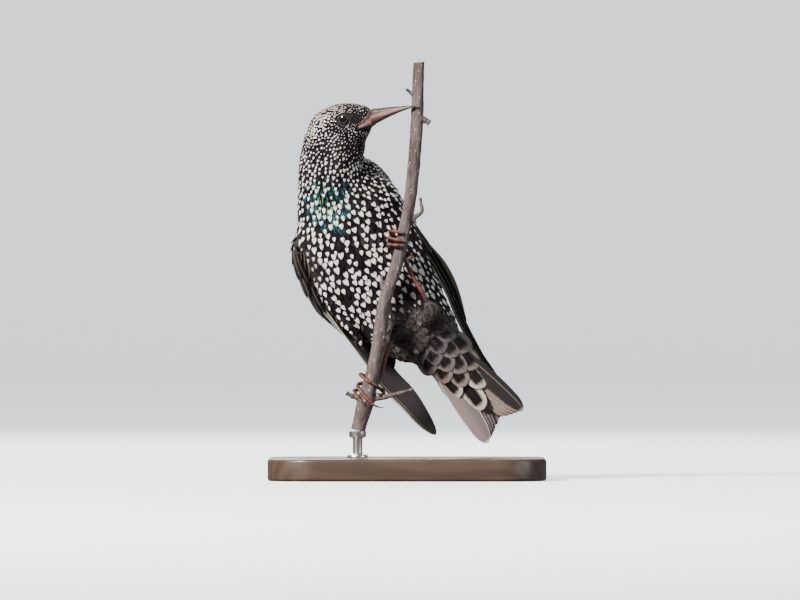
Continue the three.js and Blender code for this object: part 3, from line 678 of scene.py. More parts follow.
def pad(sheet, reach, front, back, top, depth, squareness, sides):
    """A pad on a wing's sheet. front, back and top are read by the length along the wing."""
    def place(t, angle):
        s = reach[0] + (reach[1] - reach[0]) * t
        swell = np.abs(np.sin(angle)) ** squareness * rounded(t, 0.25)
        middle, half = (front(s) + back(s)) / 2, (back(s) - front(s)) / 2
        return sheet(s, middle + half * np.cos(angle), np.where(np.sin(angle) > 0, top(s), -depth) * swell)

    return mould(sides, sides, place)


def filling(sheet, reach, middle, half, low, depth, top, squareness, fullness):
    """Flesh round a line that lies low under a wing's sheet: it swells up to top and depth below the line."""
    def place(t, angle):
        s = reach[0] + (reach[1] - reach[0]) * t
        swell = rounded(t, fullness)
        h = np.where(np.sin(angle) > 0, top(s) + low, depth) * swell
        h = h * np.abs(np.sin(angle)) ** squareness * np.sign(np.sin(angle)) - low
        return sheet(s, middle + half * np.cos(angle) * swell, h)

    return mould(32, 40, place)


def wing_flesh():
    """For each wing its arm, and a filling in front of its edge, against which the flank's feathers close."""
    pieces = []
    for sheet in WINGS.values():
        pieces.append(pad(sheet, ARM, arm_front, arm_back, arm_rise, 4.2, 0.6, 40))
        pieces.append(filling(sheet, (-2, 72), -3.5, 5.5, 3, 3, flank_top, 0.7, 0.3))
    return pieces


def limb_flesh(path, thickness):
    def place(t, angle):
        radius = thickness(t) * rounded(t, 0.25, 0)
        tangent = path.tangent(t * path.length)
        side = unit(np.cross(tangent, (0, 0, 1)))
        up = np.cross(side, tangent)
        rim = np.cos(angle)[:, None] * side + np.sin(angle)[:, None] * up
        return path.at(t * path.length) + radius[:, None] * rim

    return mould(24, 20, place)


def rump_flesh():
    def place(t, angle):
        s = -6 + 45 * t
        swell = rounded(t, 0.2, 0.001)
        depth = np.where(np.sin(angle) > 0, rump_front(s), rump_back(s))
        return on_tail(s, rump_wide(s) * np.cos(angle) * swell, depth * np.sin(angle) * swell)

    return mould(40, 40, place)


def socket_filling(side):
    """A ball a little smaller than the eye, so that the skin runs on behind it."""
    def place(t, angle):
        ring = np.sin(math.pi * t)
        out = np.stack([ring * np.cos(angle), ring * np.sin(angle), -np.cos(math.pi * t)], axis=-1)
        return eye_centre(side) + (EYE_RADIUS - 0.15) * out

    return mould(24, 16, place)


# %% One skin
VOXEL = 0.85
BODY_COAT = 1.15  # depth of the feathers over the body, in millimetres
HEAD_COAT = 0.45
BODY_NODES = ["torso", "head", "neck", "thigh_left", "thigh_right"]


def coat_depth(points):
    """How deep the coat lies over each point, least on the head."""
    return HEAD_COAT + (BODY_COAT - HEAD_COAT) * smoothstep(186, 162, points[:, 2])


def make_skin():
    flesh = [copy_of(node) for node in BODY_NODES]
    flesh += wing_flesh() + [socket_filling(side) for side in (-1, 1)]
    flesh += [rump_flesh(), filling(WINGS["right"], (-13, 9), 13.5, 15, 18, 1, shoulder_top, 0.6, 0.25)]
    flesh += [limb_flesh(path, thigh_thickness) for path in THIGHS.values()]
    flesh.append(limb_flesh(left_shoulder, left_shoulder_thickness))
    skin = join(flesh)
    modify(skin, "REMESH", mode="VOXEL", voxel_size=VOXEL * MM)
    modify(skin, "SMOOTH", factor=0.5, iterations=7)
    depth = coat_depth(millimetres(corners(skin)))
    group = skin.vertex_groups.new(name="coat")
    for i, value in enumerate(depth / BODY_COAT):
        group.add([i], float(value), "REPLACE")
    modify(skin, "DISPLACE", strength=-BODY_COAT * MM, mid_level=0, vertex_group="coat")
    modify(skin, "SMOOTH", factor=0.4, iterations=3)
    skin.vertex_groups.clear()
    return skin


skin = make_skin()
print("skin corners:", len(skin.data.vertices))


# %% [markdown]
# The skin is unwrapped from its own shape. Each feather later takes a small patch at its root's place on that
# unwrap, so that a painted copy of the model keeps one colour for each feather.

# %% Unwrap the skin
BAKE_MAP = "OFBake"


def unwrap(piece):
    while piece.data.uv_layers:
        piece.data.uv_layers.remove(piece.data.uv_layers[0])
    piece.data.uv_layers.new(name=BAKE_MAP)
    edit(piece)
    bpy.ops.uv.smart_project(angle_limit=math.radians(66), island_margin=0.004)
    done()


unwrap(skin)


def tree_of(*pieces):
    """A search tree of the surfaces of these pieces."""
    points, faces = [], []
    for piece in pieces:
        start = len(points)
        points += [tuple(point) for point in millimetres(corners(piece))]
        faces += [tuple(start + i for i in face.vertices) for face in piece.data.polygons]
    return BVHTree.FromPolygons(points, faces)


def bake_places(piece):
    """The middle of each face on the unwrap."""
    loops = np.empty(len(piece.data.loops) * 2, np.float32)
    piece.data.uv_layers[BAKE_MAP].data.foreach_get("uv", loops)
    loops = loops.reshape(-1, 2)
    spans = [(face.loop_start, face.loop_start + face.loop_total) for face in piece.data.polygons]
    return np.array([loops[start:end].mean(axis=0) for start, end in spans])


skin_tree = tree_of(skin)
skin_patches = bake_places(skin)
print("skin faces:", len(skin_patches))


# %% [markdown]
# ## Long feathers
# A flight feather is a thin vane on both sides of a shaft, narrow on its leading side. One flat grid is
# shaped into it, with a second grid just below for its underside, and the two are closed along the rim. All
# the feathers of a wing go into one mesh, made from arrays, which is far quicker than one object for each.

# %% A closed leaf
def leaf_faces(columns, rows, both_sides):
    """Corner numbers for the faces of a thin closed leaf with its upper grid first."""
    top = np.arange((rows + 1) * (columns + 1)).reshape(rows + 1, columns + 1)
    faces = []
    for r in range(rows):
        for c in range(columns):
            faces.append((top[r, c], top[r, c + 1], top[r + 1, c + 1], top[r + 1, c]))
    if not both_sides:
        for r in range(rows):
            faces.append((top[r, -1], top[r, 0], top[r + 1, 0], top[r + 1, -1]))
        return faces + [tuple(top[0][::-1]), tuple(top[-1])]
    under = top + top.size
    faces += [tuple(top.size + i for i in face[::-1]) for face in faces]
    for r in range(rows):
        faces.append((top[r + 1, 0], under[r + 1, 0], under[r, 0], top[r, 0]))
        faces.append((top[r, -1], under[r, -1], under[r + 1, -1], top[r + 1, -1]))
    for c in range(columns):
        faces.append((top[0, c + 1], top[0, c], under[0, c], under[0, c + 1]))
        faces.append((top[-1, c], top[-1, c + 1], under[-1, c + 1], under[-1, c]))
    return faces


def leaves_mesh(name, points, faces, maps, colours):
    """Many equal leaves in one mesh. points, maps and colours hold one row for each leaf and corner."""
    count, size = points.shape[:2]
    loops = np.concatenate([np.array(face) for face in faces])
    totals = np.tile([len(face) for face in faces], count)
    loop_corners = (loops[None, :] + size * np.arange(count)[:, None]).ravel()
    mesh = bpy.data.meshes.new(name)
    mesh.vertices.add(count * size)
    mesh.vertices.foreach_set("co", metres(points).astype(np.float32).ravel())
    mesh.loops.add(len(loop_corners))
    mesh.loops.foreach_set("vertex_index", loop_corners)
    mesh.polygons.add(len(totals))
    mesh.polygons.foreach_set("loop_start", np.concatenate([[0], np.cumsum(totals)[:-1]]))
    mesh.polygons.foreach_set("loop_total", totals)
    for key, values in maps.items():
        layer = mesh.uv_layers.new(name=key)
        layer.data.foreach_set("uv", values.reshape(-1, 2)[loop_corners].astype(np.float32).ravel())
    for key, values in colours.items():
        layer = mesh.color_attributes.new(name=key, type="FLOAT_COLOR", domain="POINT")
        layer.data.foreach_set("color", values.astype(np.float32).ravel())
    mesh.update(calc_edges=True)
    mesh.validate()
    piece = bpy.data.objects.new(name, mesh)
    bpy.context.collection.objects.link(piece)
    return piece


# %% [markdown]
# The folded feathers overlap like a closed fan. Each leans a little, so that its front edge lies over the
# feather before it and its inner web is tucked under the next. The numbers of a wing are those of the
# measured solid, with more and finer feathers in the same room.

# %% One vane, and all those of a wing
VANE_COLUMNS = 8
VANE_ROWS = 30
VANE_FORM = reading([
    (0, 0.3), (0.12, 0.8), (0.28, 1), (0.78, 0.98), (0.88, 0.86), (0.95, 0.6), (0.985, 0.33), (1, 0.07)])
COVERT_FORM = reading([
    (0, 0.3), (0.2, 0.85), (0.45, 1), (0.72, 0.95), (0.86, 0.76), (0.95, 0.45), (1, 0.08)])
VANE_STEPS = 1 - (1 - np.linspace(0, 1, VANE_ROWS + 1)) ** 1.5


def vane(sheet, root, tip, width, rise=(0, 0), lean=0.0, form=VANE_FORM, arch=0.0, front=1,
         marks=(0, 0, 0), both=0.0, shaft=0.5, tip_border=0.0, droop=0.0):
    """One feather on a sheet. front is 1 where its outer face is its underside, as on the tail, else -1."""
    along = VANE_STEPS[:, None]
    across = np.linspace(-1, 1, VANE_COLUMNS + 1)[None, :]
    half = form(along) * width / 2
    offset = across * half
    s = root[0] + (tip[0] - root[0]) * along
    t = root[1] + (tip[1] - root[1]) * along + offset
    middle = (2 * shaft - 1) * half
    ridge = 0.12 * np.exp(-(((offset - middle) / 0.35) ** 2)) * (1 - along)
    h = rise[0] + (rise[1] - rise[0]) * along - lean * offset - arch * across**2 - droop * along**4
    thickness = 0.30 - 0.16 * along
    faces = [sheet(s, t, h + side * (thickness / 2 + ridge)) for side in (1, -1)]
    points = np.concatenate([face.reshape(-1, 3) for face in faces])
    flat = np.stack(np.broadcast_arrays((across + 1) / 2, along), axis=-1).reshape(-1, 2)
    size = len(points)
    under = np.zeros(size)
    under[:size // 2] = front > 0
    under[size // 2:] = front < 0
    chance = rng.random()
    return {
        "points": points, "map": np.concatenate([flat, flat]),
        "Marks": np.tile([*marks, chance], (size, 1)),
        "Tints": np.stack(np.broadcast_arrays(both, under, shaft, tip_border), axis=-1),
    }


def vanes_piece(name, feathers, node):
    """One mesh of all these feathers, with a square of the bake map for each."""
    side = math.ceil(math.sqrt(len(feathers)))
    cells = np.array([(i % side, i // side) for i in range(len(feathers))])
    flat = np.stack([f["map"] for f in feathers])
    maps = {"Vane": flat, BAKE_MAP: (cells[:, None, :] + 0.04 + flat * 0.92) / side}
    colours = {key: np.stack([f[key] for f in feathers]) for key in ("Marks", "Tints")}
    faces = leaf_faces(VANE_COLUMNS, VANE_ROWS, both_sides=True)
    piece = leaves_mesh(name, np.stack([f["points"] for f in feathers]), faces, maps, colours)
    return finish(face_outward(piece), name, VANE, [node], angle=50)


WING_LENGTH = 130
PRIMARIES = 9
SECONDARY_TIPS = [88, 87, 86, 85, 83.5, 82]
TERTIAL_TIPS = [76, 70, 63, 56]
FLIGHT_ROOT = 36
FLIGHT_RISE = (-1.8, -1.8)
FLIGHT_LEAN = 0.51
CREAM_EDGED = (0, 1, 3, 6)  # the primaries whose pale edge shows in the picture


def flight_feathers(sheet):
    row = []
    for i in range(PRIMARIES):
        place = i * 6 / (PRIMARIES - 1)
        end = WING_LENGTH - 0.9 * place**1.75 - 0.3
        row.append(vane(
            sheet, (FLIGHT_ROOT, 4.2 + 1.9 * place), (end, 4.2 + 1.35 * place), 8.4, FLIGHT_RISE, FLIGHT_LEAN,
            front=-1, marks=(0.11 if i in CREAM_EDGED else 0.0, rng.uniform(0, 0.15), 0.1), shaft=0.24))
    for i, end in enumerate(SECONDARY_TIPS + TERTIAL_TIPS):
        t = 17.5 + 1.6 * i
        tertial = i >= len(SECONDARY_TIPS)
        end = end + rng.uniform(-0.4, 0.4)
        row.append(vane(
            sheet, (FLIGHT_ROOT, t), (end, t), 10.6, FLIGHT_RISE, FLIGHT_LEAN, front=-1,
            marks=(0.03, rng.uniform(0.3, 0.5), 0.2), shaft=0.4 if tertial else 0.3,
            both=1.0 if tertial else 0.4, tip_border=0.022))
    return row


COVERT_TIERS = [  # how many, first t and pitch, root and end, fall of the ends, width, rise and lean
    (10, 8.4, 2.55, 22, 46.5, 0.4, 7.0, (-0.6, 0.9), 0.197),  # greater
    (5, 2.6, 1.5, 18, 40, 1.1, 4.6, (-0.6, 0.8), 0.316),  # primary
    (10, 5.6, 2.7, 10, 29, 0.4, 6.4, (0, 2.0), 0.169),  # median
    (9, 4.4, 3.0, 2, 18, 0.3, 6.2, (0.2, 2.3), 0.15),  # lesser
    (3, 1.6, 1.3, 4, 24, 3.4, 3.6, (0, 1.6), 0.404),  # alula
]


def wing_coverts(sheet):
    row = []
    for count, first, pitch, root, longest, fall, width, rise, lean in COVERT_TIERS:
        for i in range(count):
            t = first + pitch * i + rng.uniform(-0.15, 0.15)
            end = longest - fall * i + rng.uniform(-0.5, 0.5)
            marks = (0.045 * (i % 2), rng.uniform(0.4, 0.62), rng.uniform(0.1, 0.7))
            row.append(vane(
                sheet, (root, t), (end, t), width, rise, lean, form=COVERT_FORM, arch=0.25, front=-1,
                marks=marks, both=1.0, shaft=0.45, tip_border=0.04, droop=0.8))
    return row


EDGE_VANES = 10
EDGE_PITCH = 5


def leading_edge(sheet):
    """A chain of small coverts along the wing's front edge, each over the one nearer the tip."""
    row = []
    for i in reversed(range(EDGE_VANES)):
        start = EDGE_PITCH * i
        marks = (0.05, rng.uniform(0.4, 0.6), 0.3)
        row.append(vane(
            sheet, (start - 2, -2.4), (start + 10, 0.6), 5.0, (-2.2, 0.4 - 0.09 * i), 0.3,
            form=COVERT_FORM, arch=0.3, front=-1, marks=marks, both=1.0, tip_border=0.03))
    return row


wings = {}
for side, sheet in WINGS.items():
    feathers = flight_feathers(sheet) + wing_coverts(sheet) + leading_edge(sheet)
    wings[side] = vanes_piece(f"feathers_wing_{side}", feathers, f"wing_{side}")


# %% [markdown]
# The tail's twelve feathers lie in pairs, the middle pair nearest the back. Over them, on the viewer's side,
# the under tail coverts come down in tiers from the vent: dark with a broad cream edge far down, and plain
# grey near the vent, a grey that is partly painted shade. On the tail's right lobe the tan of the inner
# feathers is painted sunlight and the near black of the outer one painted shadow. Two tiers of upper coverts
# close the root from the back.

# %% The tail
TAIL_LENGTH = 66
TAIL_COVERT_FORM = reading([
    (0, 0.3), (0.2, 0.8), (0.45, 1), (0.74, 0.98), (0.87, 0.84), (0.95, 0.58), (0.985, 0.34), (1, 0.10)])
TAIL_WIDTH = 10.4  # of one feather
TAIL_FAN = [(-1, 1.95, 0.0), (1, 2.4, 1.8)]  # side, spacing of the tips, how much shorter
# The grey of the edges near the vent is partly the bird's own and partly painted shade.
TAIL_COVERTS = [  # from the longest: where each tip lies along and across the tail, and how grey it is
    (49.0, -2.0, 0.0), (40.0, 6.2, 0.05), (36.0, -8.6, 0.1), (33.0, -1.4, 0.68), (29.6, 9.4, 0.7),
    (27.0, 3.2, 0.8), (25.6, -7.4, 0.72), (21.6, -2.2, 0.85), (19.6, 11.6, 0.85), (17.6, 5.2, 0.9),
    (17.0, -11.0, 0.9), (14.6, -5.6, 0.95), (11.6, 0.6, 1.0), (9.4, 9.0, 0.9), (8.0, -10.0, 1.0)]
UPPER_TAIL_COVERTS = [(10, 33, 2.6, (-5, -4.2)), (2, 24, 3.0, (-8.2, -5.6))]  # root, end, pitch and rise


def tail_feathers():
    row = []
    for i in range(6):
        for side, pitch, short in TAIL_FAN:
            end = 1.6 + pitch * i
            layer = -1 if i == 0 and side > 0 else i
            height = 0.97 * layer - 1.4
            length = TAIL_LENGTH - 5.9 - short + 0.9 * i
            inner = min(TAIL_WIDTH / 2, end - 0.2)
            wide = TAIL_WIDTH if i == 0 else inner + TAIL_WIDTH / 2
            shift = 0 if i == 0 else (TAIL_WIDTH / 2 - inner) / 2
            shaft = 0.5 + side * (0.02 + 0.045 * i)
            marks = (0.05, 0.1, 1.0) if i == 5 else (0.02, 0.8, 0.9)
            # Painted light on the right lobe: the near-black underside of the outer feather is painted
            # shadow, and the tan that covers the inner ones is painted sunlight; the outer feather's pale tip
            # edge is its own.
            if side > 0 and i > 1:
                marks = (0.2, 0.68, 0.02) if i == 5 else (0.9, 0.66, 0.5)
            row.append(vane(
                on_tail, (10, side * (0.6 + 0.9 * i)), (length, side * (end + shift)), wide, (height, height),
                marks=marks, both=float(side < 0), shaft=shaft, tip_border=0.03 if i in (0, 5) else 0.01))
    return row


def tail_coverts():
    row = []
    # Painted shade, in part: the covert edges turn grey towards the vent.
    for end, t, grey_and_shade in TAIL_COVERTS:
        height = 5.4 + 0.19 * (49 - end)
        long = 17 + 0.22 * end
        row.append(vane(
            round_tail, (end - long, t * 0.62), (end, t), 11.4, (height + 0.9, height),
            form=TAIL_COVERT_FORM, arch=0.5, front=-1, marks=(0.25, 0.05 + 0.95 * grey_and_shade, 0.2), both=1.0,
            tip_border=3.6 / long, droop=0.8))
    for root, end, pitch, (foot, tip) in UPPER_TAIL_COVERTS:
        for place in sorted(range(-3, 4), key=abs, reverse=True):
            t, out = place * pitch, abs(place)
            rise = (foot + 0.68 * out, tip + 0.34 * out)
            row.append(vane(
                on_tail, (root, t * 0.7), (end - out * 1.7, t), 7.5, rise, form=TAIL_COVERT_FORM, arch=-0.5,
                front=1, marks=(0.08, 0.5, 0.2), both=1.0, tip_border=0.05))
    return row


tail = vanes_piece("feathers_tail", tail_feathers() + tail_coverts(), "tail")


# %% [markdown]
# ## The coat
# Each small feather needs a place, a direction and a size. Places are strewn over the skin so that no two
# stand closer than about four fifths of the spacing there, which is least on the face and greatest on the
# belly. The lie is a flow over the body: back from the bill, down the neck, then along the trunk to the tail.

# %% Spacing and lie of the feathers
SPACING = reading([
    (40, 3.6), (60, 3.7), (90, 3.9), (125, 3.85), (140, 3.6), (150, 3.25), (158, 2.9), (166, 2.6),
    (174, 2.25), (180, 2.0), (186, 1.8), (206, 1.75)])
TRUNK = np.array([  # the middle of the body from the head to the tail, then its half width
    (-37.8, 12, 187.4, 16), (-40.6, 14.5, 175, 17.3), (-41.4, 17.4, 167, 18), (-39.8, 20.5, 160.4, 20.8),
    (-36.6, 24, 153, 25.8), (-32, 27, 144, 31.4), (-28.4, 30, 130.5, 33.6), (-21, 31, 117.5, 33.6),
    (-11.8, 31, 103.4, 30.6), (-1.3, 30, 90, 26.3), (8.8, 29.5, 79.3, 21), (19, 29.5, 68.6, 15.2),
    (27.6, 30, 59.4, 11.6), (37.5, 30.6, 49, 8)], float)
DOWNWARD = np.array([0.0, 0.0, -1.0])

trunk_path = Path(TRUNK[:, :3])
trunk_stations = np.interp(TRUNK[:, 2], trunk_path.points[::-1, 2], trunk_path.along[::-1])
trunk_width = reading(np.c_[trunk_stations, TRUNK[:, 3]])
THIGH_SPACING = 2.5
FLANK_BACK = 21  # behind this depth the flank hides the thighs


def eye_distance(points):
    forward, left, up = from_head(points)
    return np.where(np.abs(left) > 5, np.hypot(forward - EYE_AT[0], up - EYE_AT[2]), 99.0)


def spacing_at(points):
    spacing = SPACING(points[:, 2])
    forward, _, _ = from_head(points)
    face = smoothstep(5, 15, forward) * smoothstep(172, 180, points[:, 2])
    spacing = spacing - face * 0.4
    spacing = np.minimum(spacing, 0.95 + 0.16 * np.maximum(eye_distance(points) - 2.8, 0) ** 1.2)
    return spacing + (THIGH_SPACING - spacing) * near_thigh(points)[0]


def near_thigh(points):
    """How much each point belongs to a thigh, from 0 to 1, and which way that thigh runs."""
    best = np.full(len(points), 99.0)
    way = np.zeros_like(points)
    for path in THIGHS.values():
        gap = np.linalg.norm(points[:, None, :] - path.points[None, ::20, :], axis=2)
        nearest = gap.argmin(axis=1)
        distance = gap.min(axis=1) + 6 * (points[:, 1] > FLANK_BACK)
        closer = distance < best
        best[closer] = distance[closer]
        way[closer] = path.tangents[::20][nearest[closer]]
    return smoothstep(9, 6, best), way


def lie_at(points, normals):
    """The direction in which the feathers lie, along the skin."""
    gap = np.linalg.norm(points[:, None, :] - trunk_path.points[None, ::8, :], axis=2)
    s = trunk_path.along[::8][gap.argmin(axis=1)]
    width = trunk_width(s)
    spread = (trunk_width(s + 1) - trunk_width(s - 1)) / 2 / width
    body = unit(trunk_path.tangent(s)) + (points - trunk_path.at(s)) * spread[:, None]
    head = -FORWARD + 0.8 * DOWNWARD
    share = smoothstep(170, 184, points[:, 2])[:, None]
    flow = body * (1 - share) + head * share
    thigh, way = near_thigh(points)
    share = thigh[:, None]
    flow = flow * (1 - share) + (0.4 * way + DOWNWARD) * share
    forward, _, up = from_head(points)
    around = (forward - EYE_AT[0])[:, None] * FORWARD + (up - EYE_AT[2])[:, None] * UP
    share = np.clip(1.4 - (eye_distance(points) - 3) / 4, 0, 1)[:, None]
    flow = flow + unit(around) * share * 0.9
    return unit(flow - (flow * normals).sum(axis=1, keepdims=True) * normals)


# %% [markdown]
# The small feathers lie on a cover: a smooth surface over the skin and over the room that the front part of
# each folded wing's coverts takes. Nothing grows on the bill's base, inside the eye's opening or where a long
# feather lies over the skin. The last is found with rays: a place is covered if a ray outwards from it meets
# a long feather.

# %% What the small feathers lie on
wing_top = reading([(-4, -0.8), (2, 0.5), (9, 1.7), (18, 2.4), (29, 2.2), (36, 1.8), (46, 1.4), (58, 0.2)])


def slab_front(s):
    return 0.6 + 6 * (1 - (s + 4) / 62) ** 8


def slab_back(s):
    return arm_back(s) + 1.5


def make_cover():
    """A smooth surface over the skin and the wings' coverts, on which the small feathers come to lie."""
    body = skin.copy()
    body.data = skin.data.copy()
    bpy.context.collection.objects.link(body)
    slabs = [pad(sheet, (-4, 58), slab_front, slab_back, wing_top, 4, 0.4, 48) for sheet in WINGS.values()]
    cover = join([body, *slabs])
    modify(cover, "REMESH", mode="VOXEL", voxel_size=VOXEL * MM)
    modify(cover, "SMOOTH", factor=0.5, iterations=5)
    found = tree_of(cover)
    bpy.data.objects.remove(cover)
    return found


cover_tree = make_cover()


# %% Strewing the roots
HORN_EDGE = reading([
    (-9, 18.6), (-6, 17.6), (-5.2, 12.4), (-4.4, 11.4), (-2.6, 11.8), (-1.2, 14.2), (0.4, 16.8),
    (2, 18.6), (3.4, 20.2), (8, 20.4)])
HEAD_FROM = 172  # the height at which the head begins
EYE_OPENING = 2.95
COVER_REACH = 2.4
TRIES = 16  # throws for each feather that has room
CLOSEST = 0.78  # of the spacing


def bare(points):
    forward, _, up = from_head(points)
    return ((forward > HORN_EDGE(up)) | (eye_distance(points) < EYE_OPENING)) & (points[:, 2] > HEAD_FROM)


long_feathers = tree_of(tail, *wings.values())


def covered(point, normal):
    hit = long_feathers.ray_cast(Vector(point + normal * 0.3), Vector(normal), COVER_REACH)
    return hit[0] is not None


def strew():
    points = millimetres(corners(skin))
    faces = skin.data.polygons
    quads = points[np.array([(*face.vertices, face.vertices[0])[:4] for face in faces])]
    middles = quads.mean(axis=1)
    normals = np.array([face.normal for face in faces])
    areas = np.array([face.area for face in faces]) / MM**2
    spacing = spacing_at(middles)
    weight = areas / spacing**2 * ~bare(middles)
    chosen = rng.choice(len(quads), int(weight.sum() * TRIES), p=weight / weight.sum())
    a, b = rng.random((2, len(chosen), 1))
    ring = quads[chosen]
    places = (ring[:, 0] * (1 - a) + ring[:, 1] * a) * (1 - b) + (ring[:, 3] * (1 - a) + ring[:, 2] * a) * b
    kd = KDTree(len(places))
    for i, place in enumerate(places):
        kd.insert(place, i)
    kd.balance()
    free = np.ones(len(places), bool)
    kept = []
    for i in range(len(places)):
        if free[i]:
            for _, j, _ in kd.find_range(places[i], spacing[chosen[i]] * CLOSEST):
                free[j] = False
            if not covered(places[i], normals[chosen[i]]):
                kept.append(i)
    kept = np.array(kept)
    return places[kept], normals[chosen[kept]], chosen[kept], spacing[chosen[kept]]


roots, root_normals, root_faces, root_spacing = strew()
root_lie = lie_at(roots, root_normals)
print("small feathers:", len(roots))


# %% [markdown]
# Each small feather is a leaf of some forty faces laid on the cover: its corners are taken to the nearest
# place on it, one even bend is fitted through them, and they are lifted, more towards the tip, so that every
# tip rests on the feathers behind. A leaf that would fold over a corner is left out. Those of the throat and
# breast are narrow and pointed, as a starling's are, and those of the belly and back rounder.

# %% Growing the small feathers
LEAF_COLUMNS = 4
LEAF_ROWS = 7
LEAF_STEPS = np.array([0, 0.16, 0.34, 0.52, 0.70, 0.84, 0.94, 1])
POINTED = reading([
    (0, 0.35), (0.2, 0.8), (0.42, 1), (0.62, 0.96), (0.78, 0.8), (0.9, 0.54), (0.97, 0.26), (1, 0.05)])
ROUNDED = reading([(0, 0.35), (0.2, 0.8), (0.5, 1), (0.74, 0.96), (0.88, 0.74), (0.96, 0.42), (1, 0.1)])
WING_NEAR = 12.0  # leaves that grow nearer than this to a long feather are tried against it
CLEARANCE = 0.5  # between a small feather and the long one over it
RAY_REACH = 3.0  # how far a long feather is looked for
PATCH = 0.003  # a leaf's share of the bake map
SHORTEST, LONGEST = 0.7, 1.35  # how far a leaf may shrink or stretch
LEAST_FACING = 0.3  # how far its corners may turn away from its middle, as a cosine
MOST_PRESSED = 0.35  # how far it may be pressed down, on the average

leaf_v, leaf_across = np.broadcast_arrays(LEAF_STEPS[:, None], np.linspace(-1, 1, LEAF_COLUMNS + 1)[None, :])
LEAF_MAP = np.stack([(leaf_across.ravel() + 1) / 2, leaf_v.ravel()], axis=-1)
LEAF_SIZE = len(LEAF_MAP)
LEAF_FACES = leaf_faces(LEAF_COLUMNS, LEAF_ROWS, both_sides=False)


def even_bend():
    """The matrix that turns any values at a leaf's corners into those of the nearest quadratic surface."""
    a, c = (leaf_v - 0.5).ravel(), (POINTED(leaf_v) * leaf_across).ravel()
    curve = np.stack([a**0, a, c, a * a, c * c, a * c], axis=-1)
    return curve @ np.linalg.pinv(curve)


def lay(root, flat, height):
    """Where the corners of flat leaves come to lie on the cover, which way is up there, and how high."""
    under, ways = np.empty((2, *flat.shape))
    height = height.copy()
    pressed = np.zeros(len(root))
    for leaf, start in enumerate(root):
        beside_wing = long_feathers.find_nearest(start, WING_NEAR)[0] is not None
        for i in range(LEAF_SIZE):
            foot, way, _, _ = cover_tree.find_nearest(flat[leaf, i])
            under[leaf, i], ways[leaf, i] = foot, way
            if beside_wing:
                hit = long_feathers.ray_cast(foot + way * 0.2, way, RAY_REACH)
                if hit[0] is not None and hit[3] - CLEARANCE < height[leaf, i]:
                    pressed[leaf] += height[leaf, i] - hit[3] + CLEARANCE
                    height[leaf, i] = hit[3] - CLEARANCE
    return under, ways, height, pressed


def grow(name, which, roundness, length, width, lift, marks, tints):
    """Grows one piece of the coat from the roots numbered in which. All sizes are given for each feather."""
    count = len(which)
    root, lie, normal = (rows[which][:, None, None] for rows in (roots, root_lie, root_normals))
    roundness, size, width, lift = (values[:, None, None] for values in (roundness, length, width, lift))
    half = POINTED(leaf_v) * (1 - roundness) + ROUNDED(leaf_v) * roundness
    down = (size * (leaf_v - 0.14))[..., None] * lie
    out = (width / 2 * half * leaf_across)[..., None] * np.cross(normal, lie)
    flat = (root + down + out).reshape(count, LEAF_SIZE, 3)
    arch = leaf_v**1.2 - 0.35 * (1 - leaf_v) ** 2 - 0.22 * leaf_across**2 * (0.4 + leaf_v)
    under, ways, height, pressed = lay(roots[which], flat, (lift * arch).reshape(count, LEAF_SIZE))
    fit = even_bend()
    under = flat + fit @ (under - flat)
    ways = unit(fit @ ways)
    shafts = under.reshape(count, LEAF_ROWS + 1, -1, 3)[:, :, LEAF_COLUMNS // 2]
    stretch = np.linalg.norm(np.diff(shafts, axis=1), axis=2).sum(axis=1) / length
    facing = (ways * unit(ways.mean(axis=1, keepdims=True))).sum(axis=2).min(axis=1)
    smooth = (facing > LEAST_FACING) & (stretch < LONGEST) & (stretch > SHORTEST)
    smooth &= pressed < MOST_PRESSED * LEAF_SIZE
    points = (under + ways * height[..., None])[smooth]
    places = skin_patches[root_faces[which]][smooth]
    maps = {
        "Vane": np.broadcast_to(LEAF_MAP, (smooth.sum(), LEAF_SIZE, 2)),
        BAKE_MAP: places[:, None] + (LEAF_MAP - 0.5) * PATCH,
    }
    colours = {
        "Marks": np.repeat(marks[smooth][:, None], LEAF_SIZE, axis=1),
        "Tints": np.repeat(tints[smooth][:, None], LEAF_SIZE, axis=1),
    }
    piece = leaves_mesh(name, points, LEAF_FACES, maps, colours)
    print(f"{name}: {smooth.sum()} of {count} feathers, the rest would fold over a corner")
    return finish(piece, name, FEATHER, angle=70)


# %% [markdown]
# The markings follow from where a feather grows. White drops are small and close on the face, larger down the
# breast, sparse on its far side, and lost towards the vent; low on the right of the body they are dimmed by
# painted shade. The forehead and crown are streaked with tan, the lores are black, and the upper breast has
# the brightest green gloss, its own colour painted brighter as a sheen where the light falls on it. Thighs
# and wrists are plainer.

# %% What each feather looks like
WRISTS = np.array([(-58, 23, 121), (-8, 40, 152)])


def near(points, centre, reach):
    return np.exp(-(((points - np.array(centre, float)) / np.array(reach, float)) ** 2).sum(axis=1))


def near_either(points, forward, side, up, reach):
    """How near each point is to a place on the head or to its twin on the other side."""
    return near(points, on_head(forward, -side, up), reach) + near(points, on_head(forward, side, up), reach)


def near_wrist(points):
    return smoothstep(17, 8, np.linalg.norm(points[:, None] - WRISTS[None], axis=2).min(axis=1))


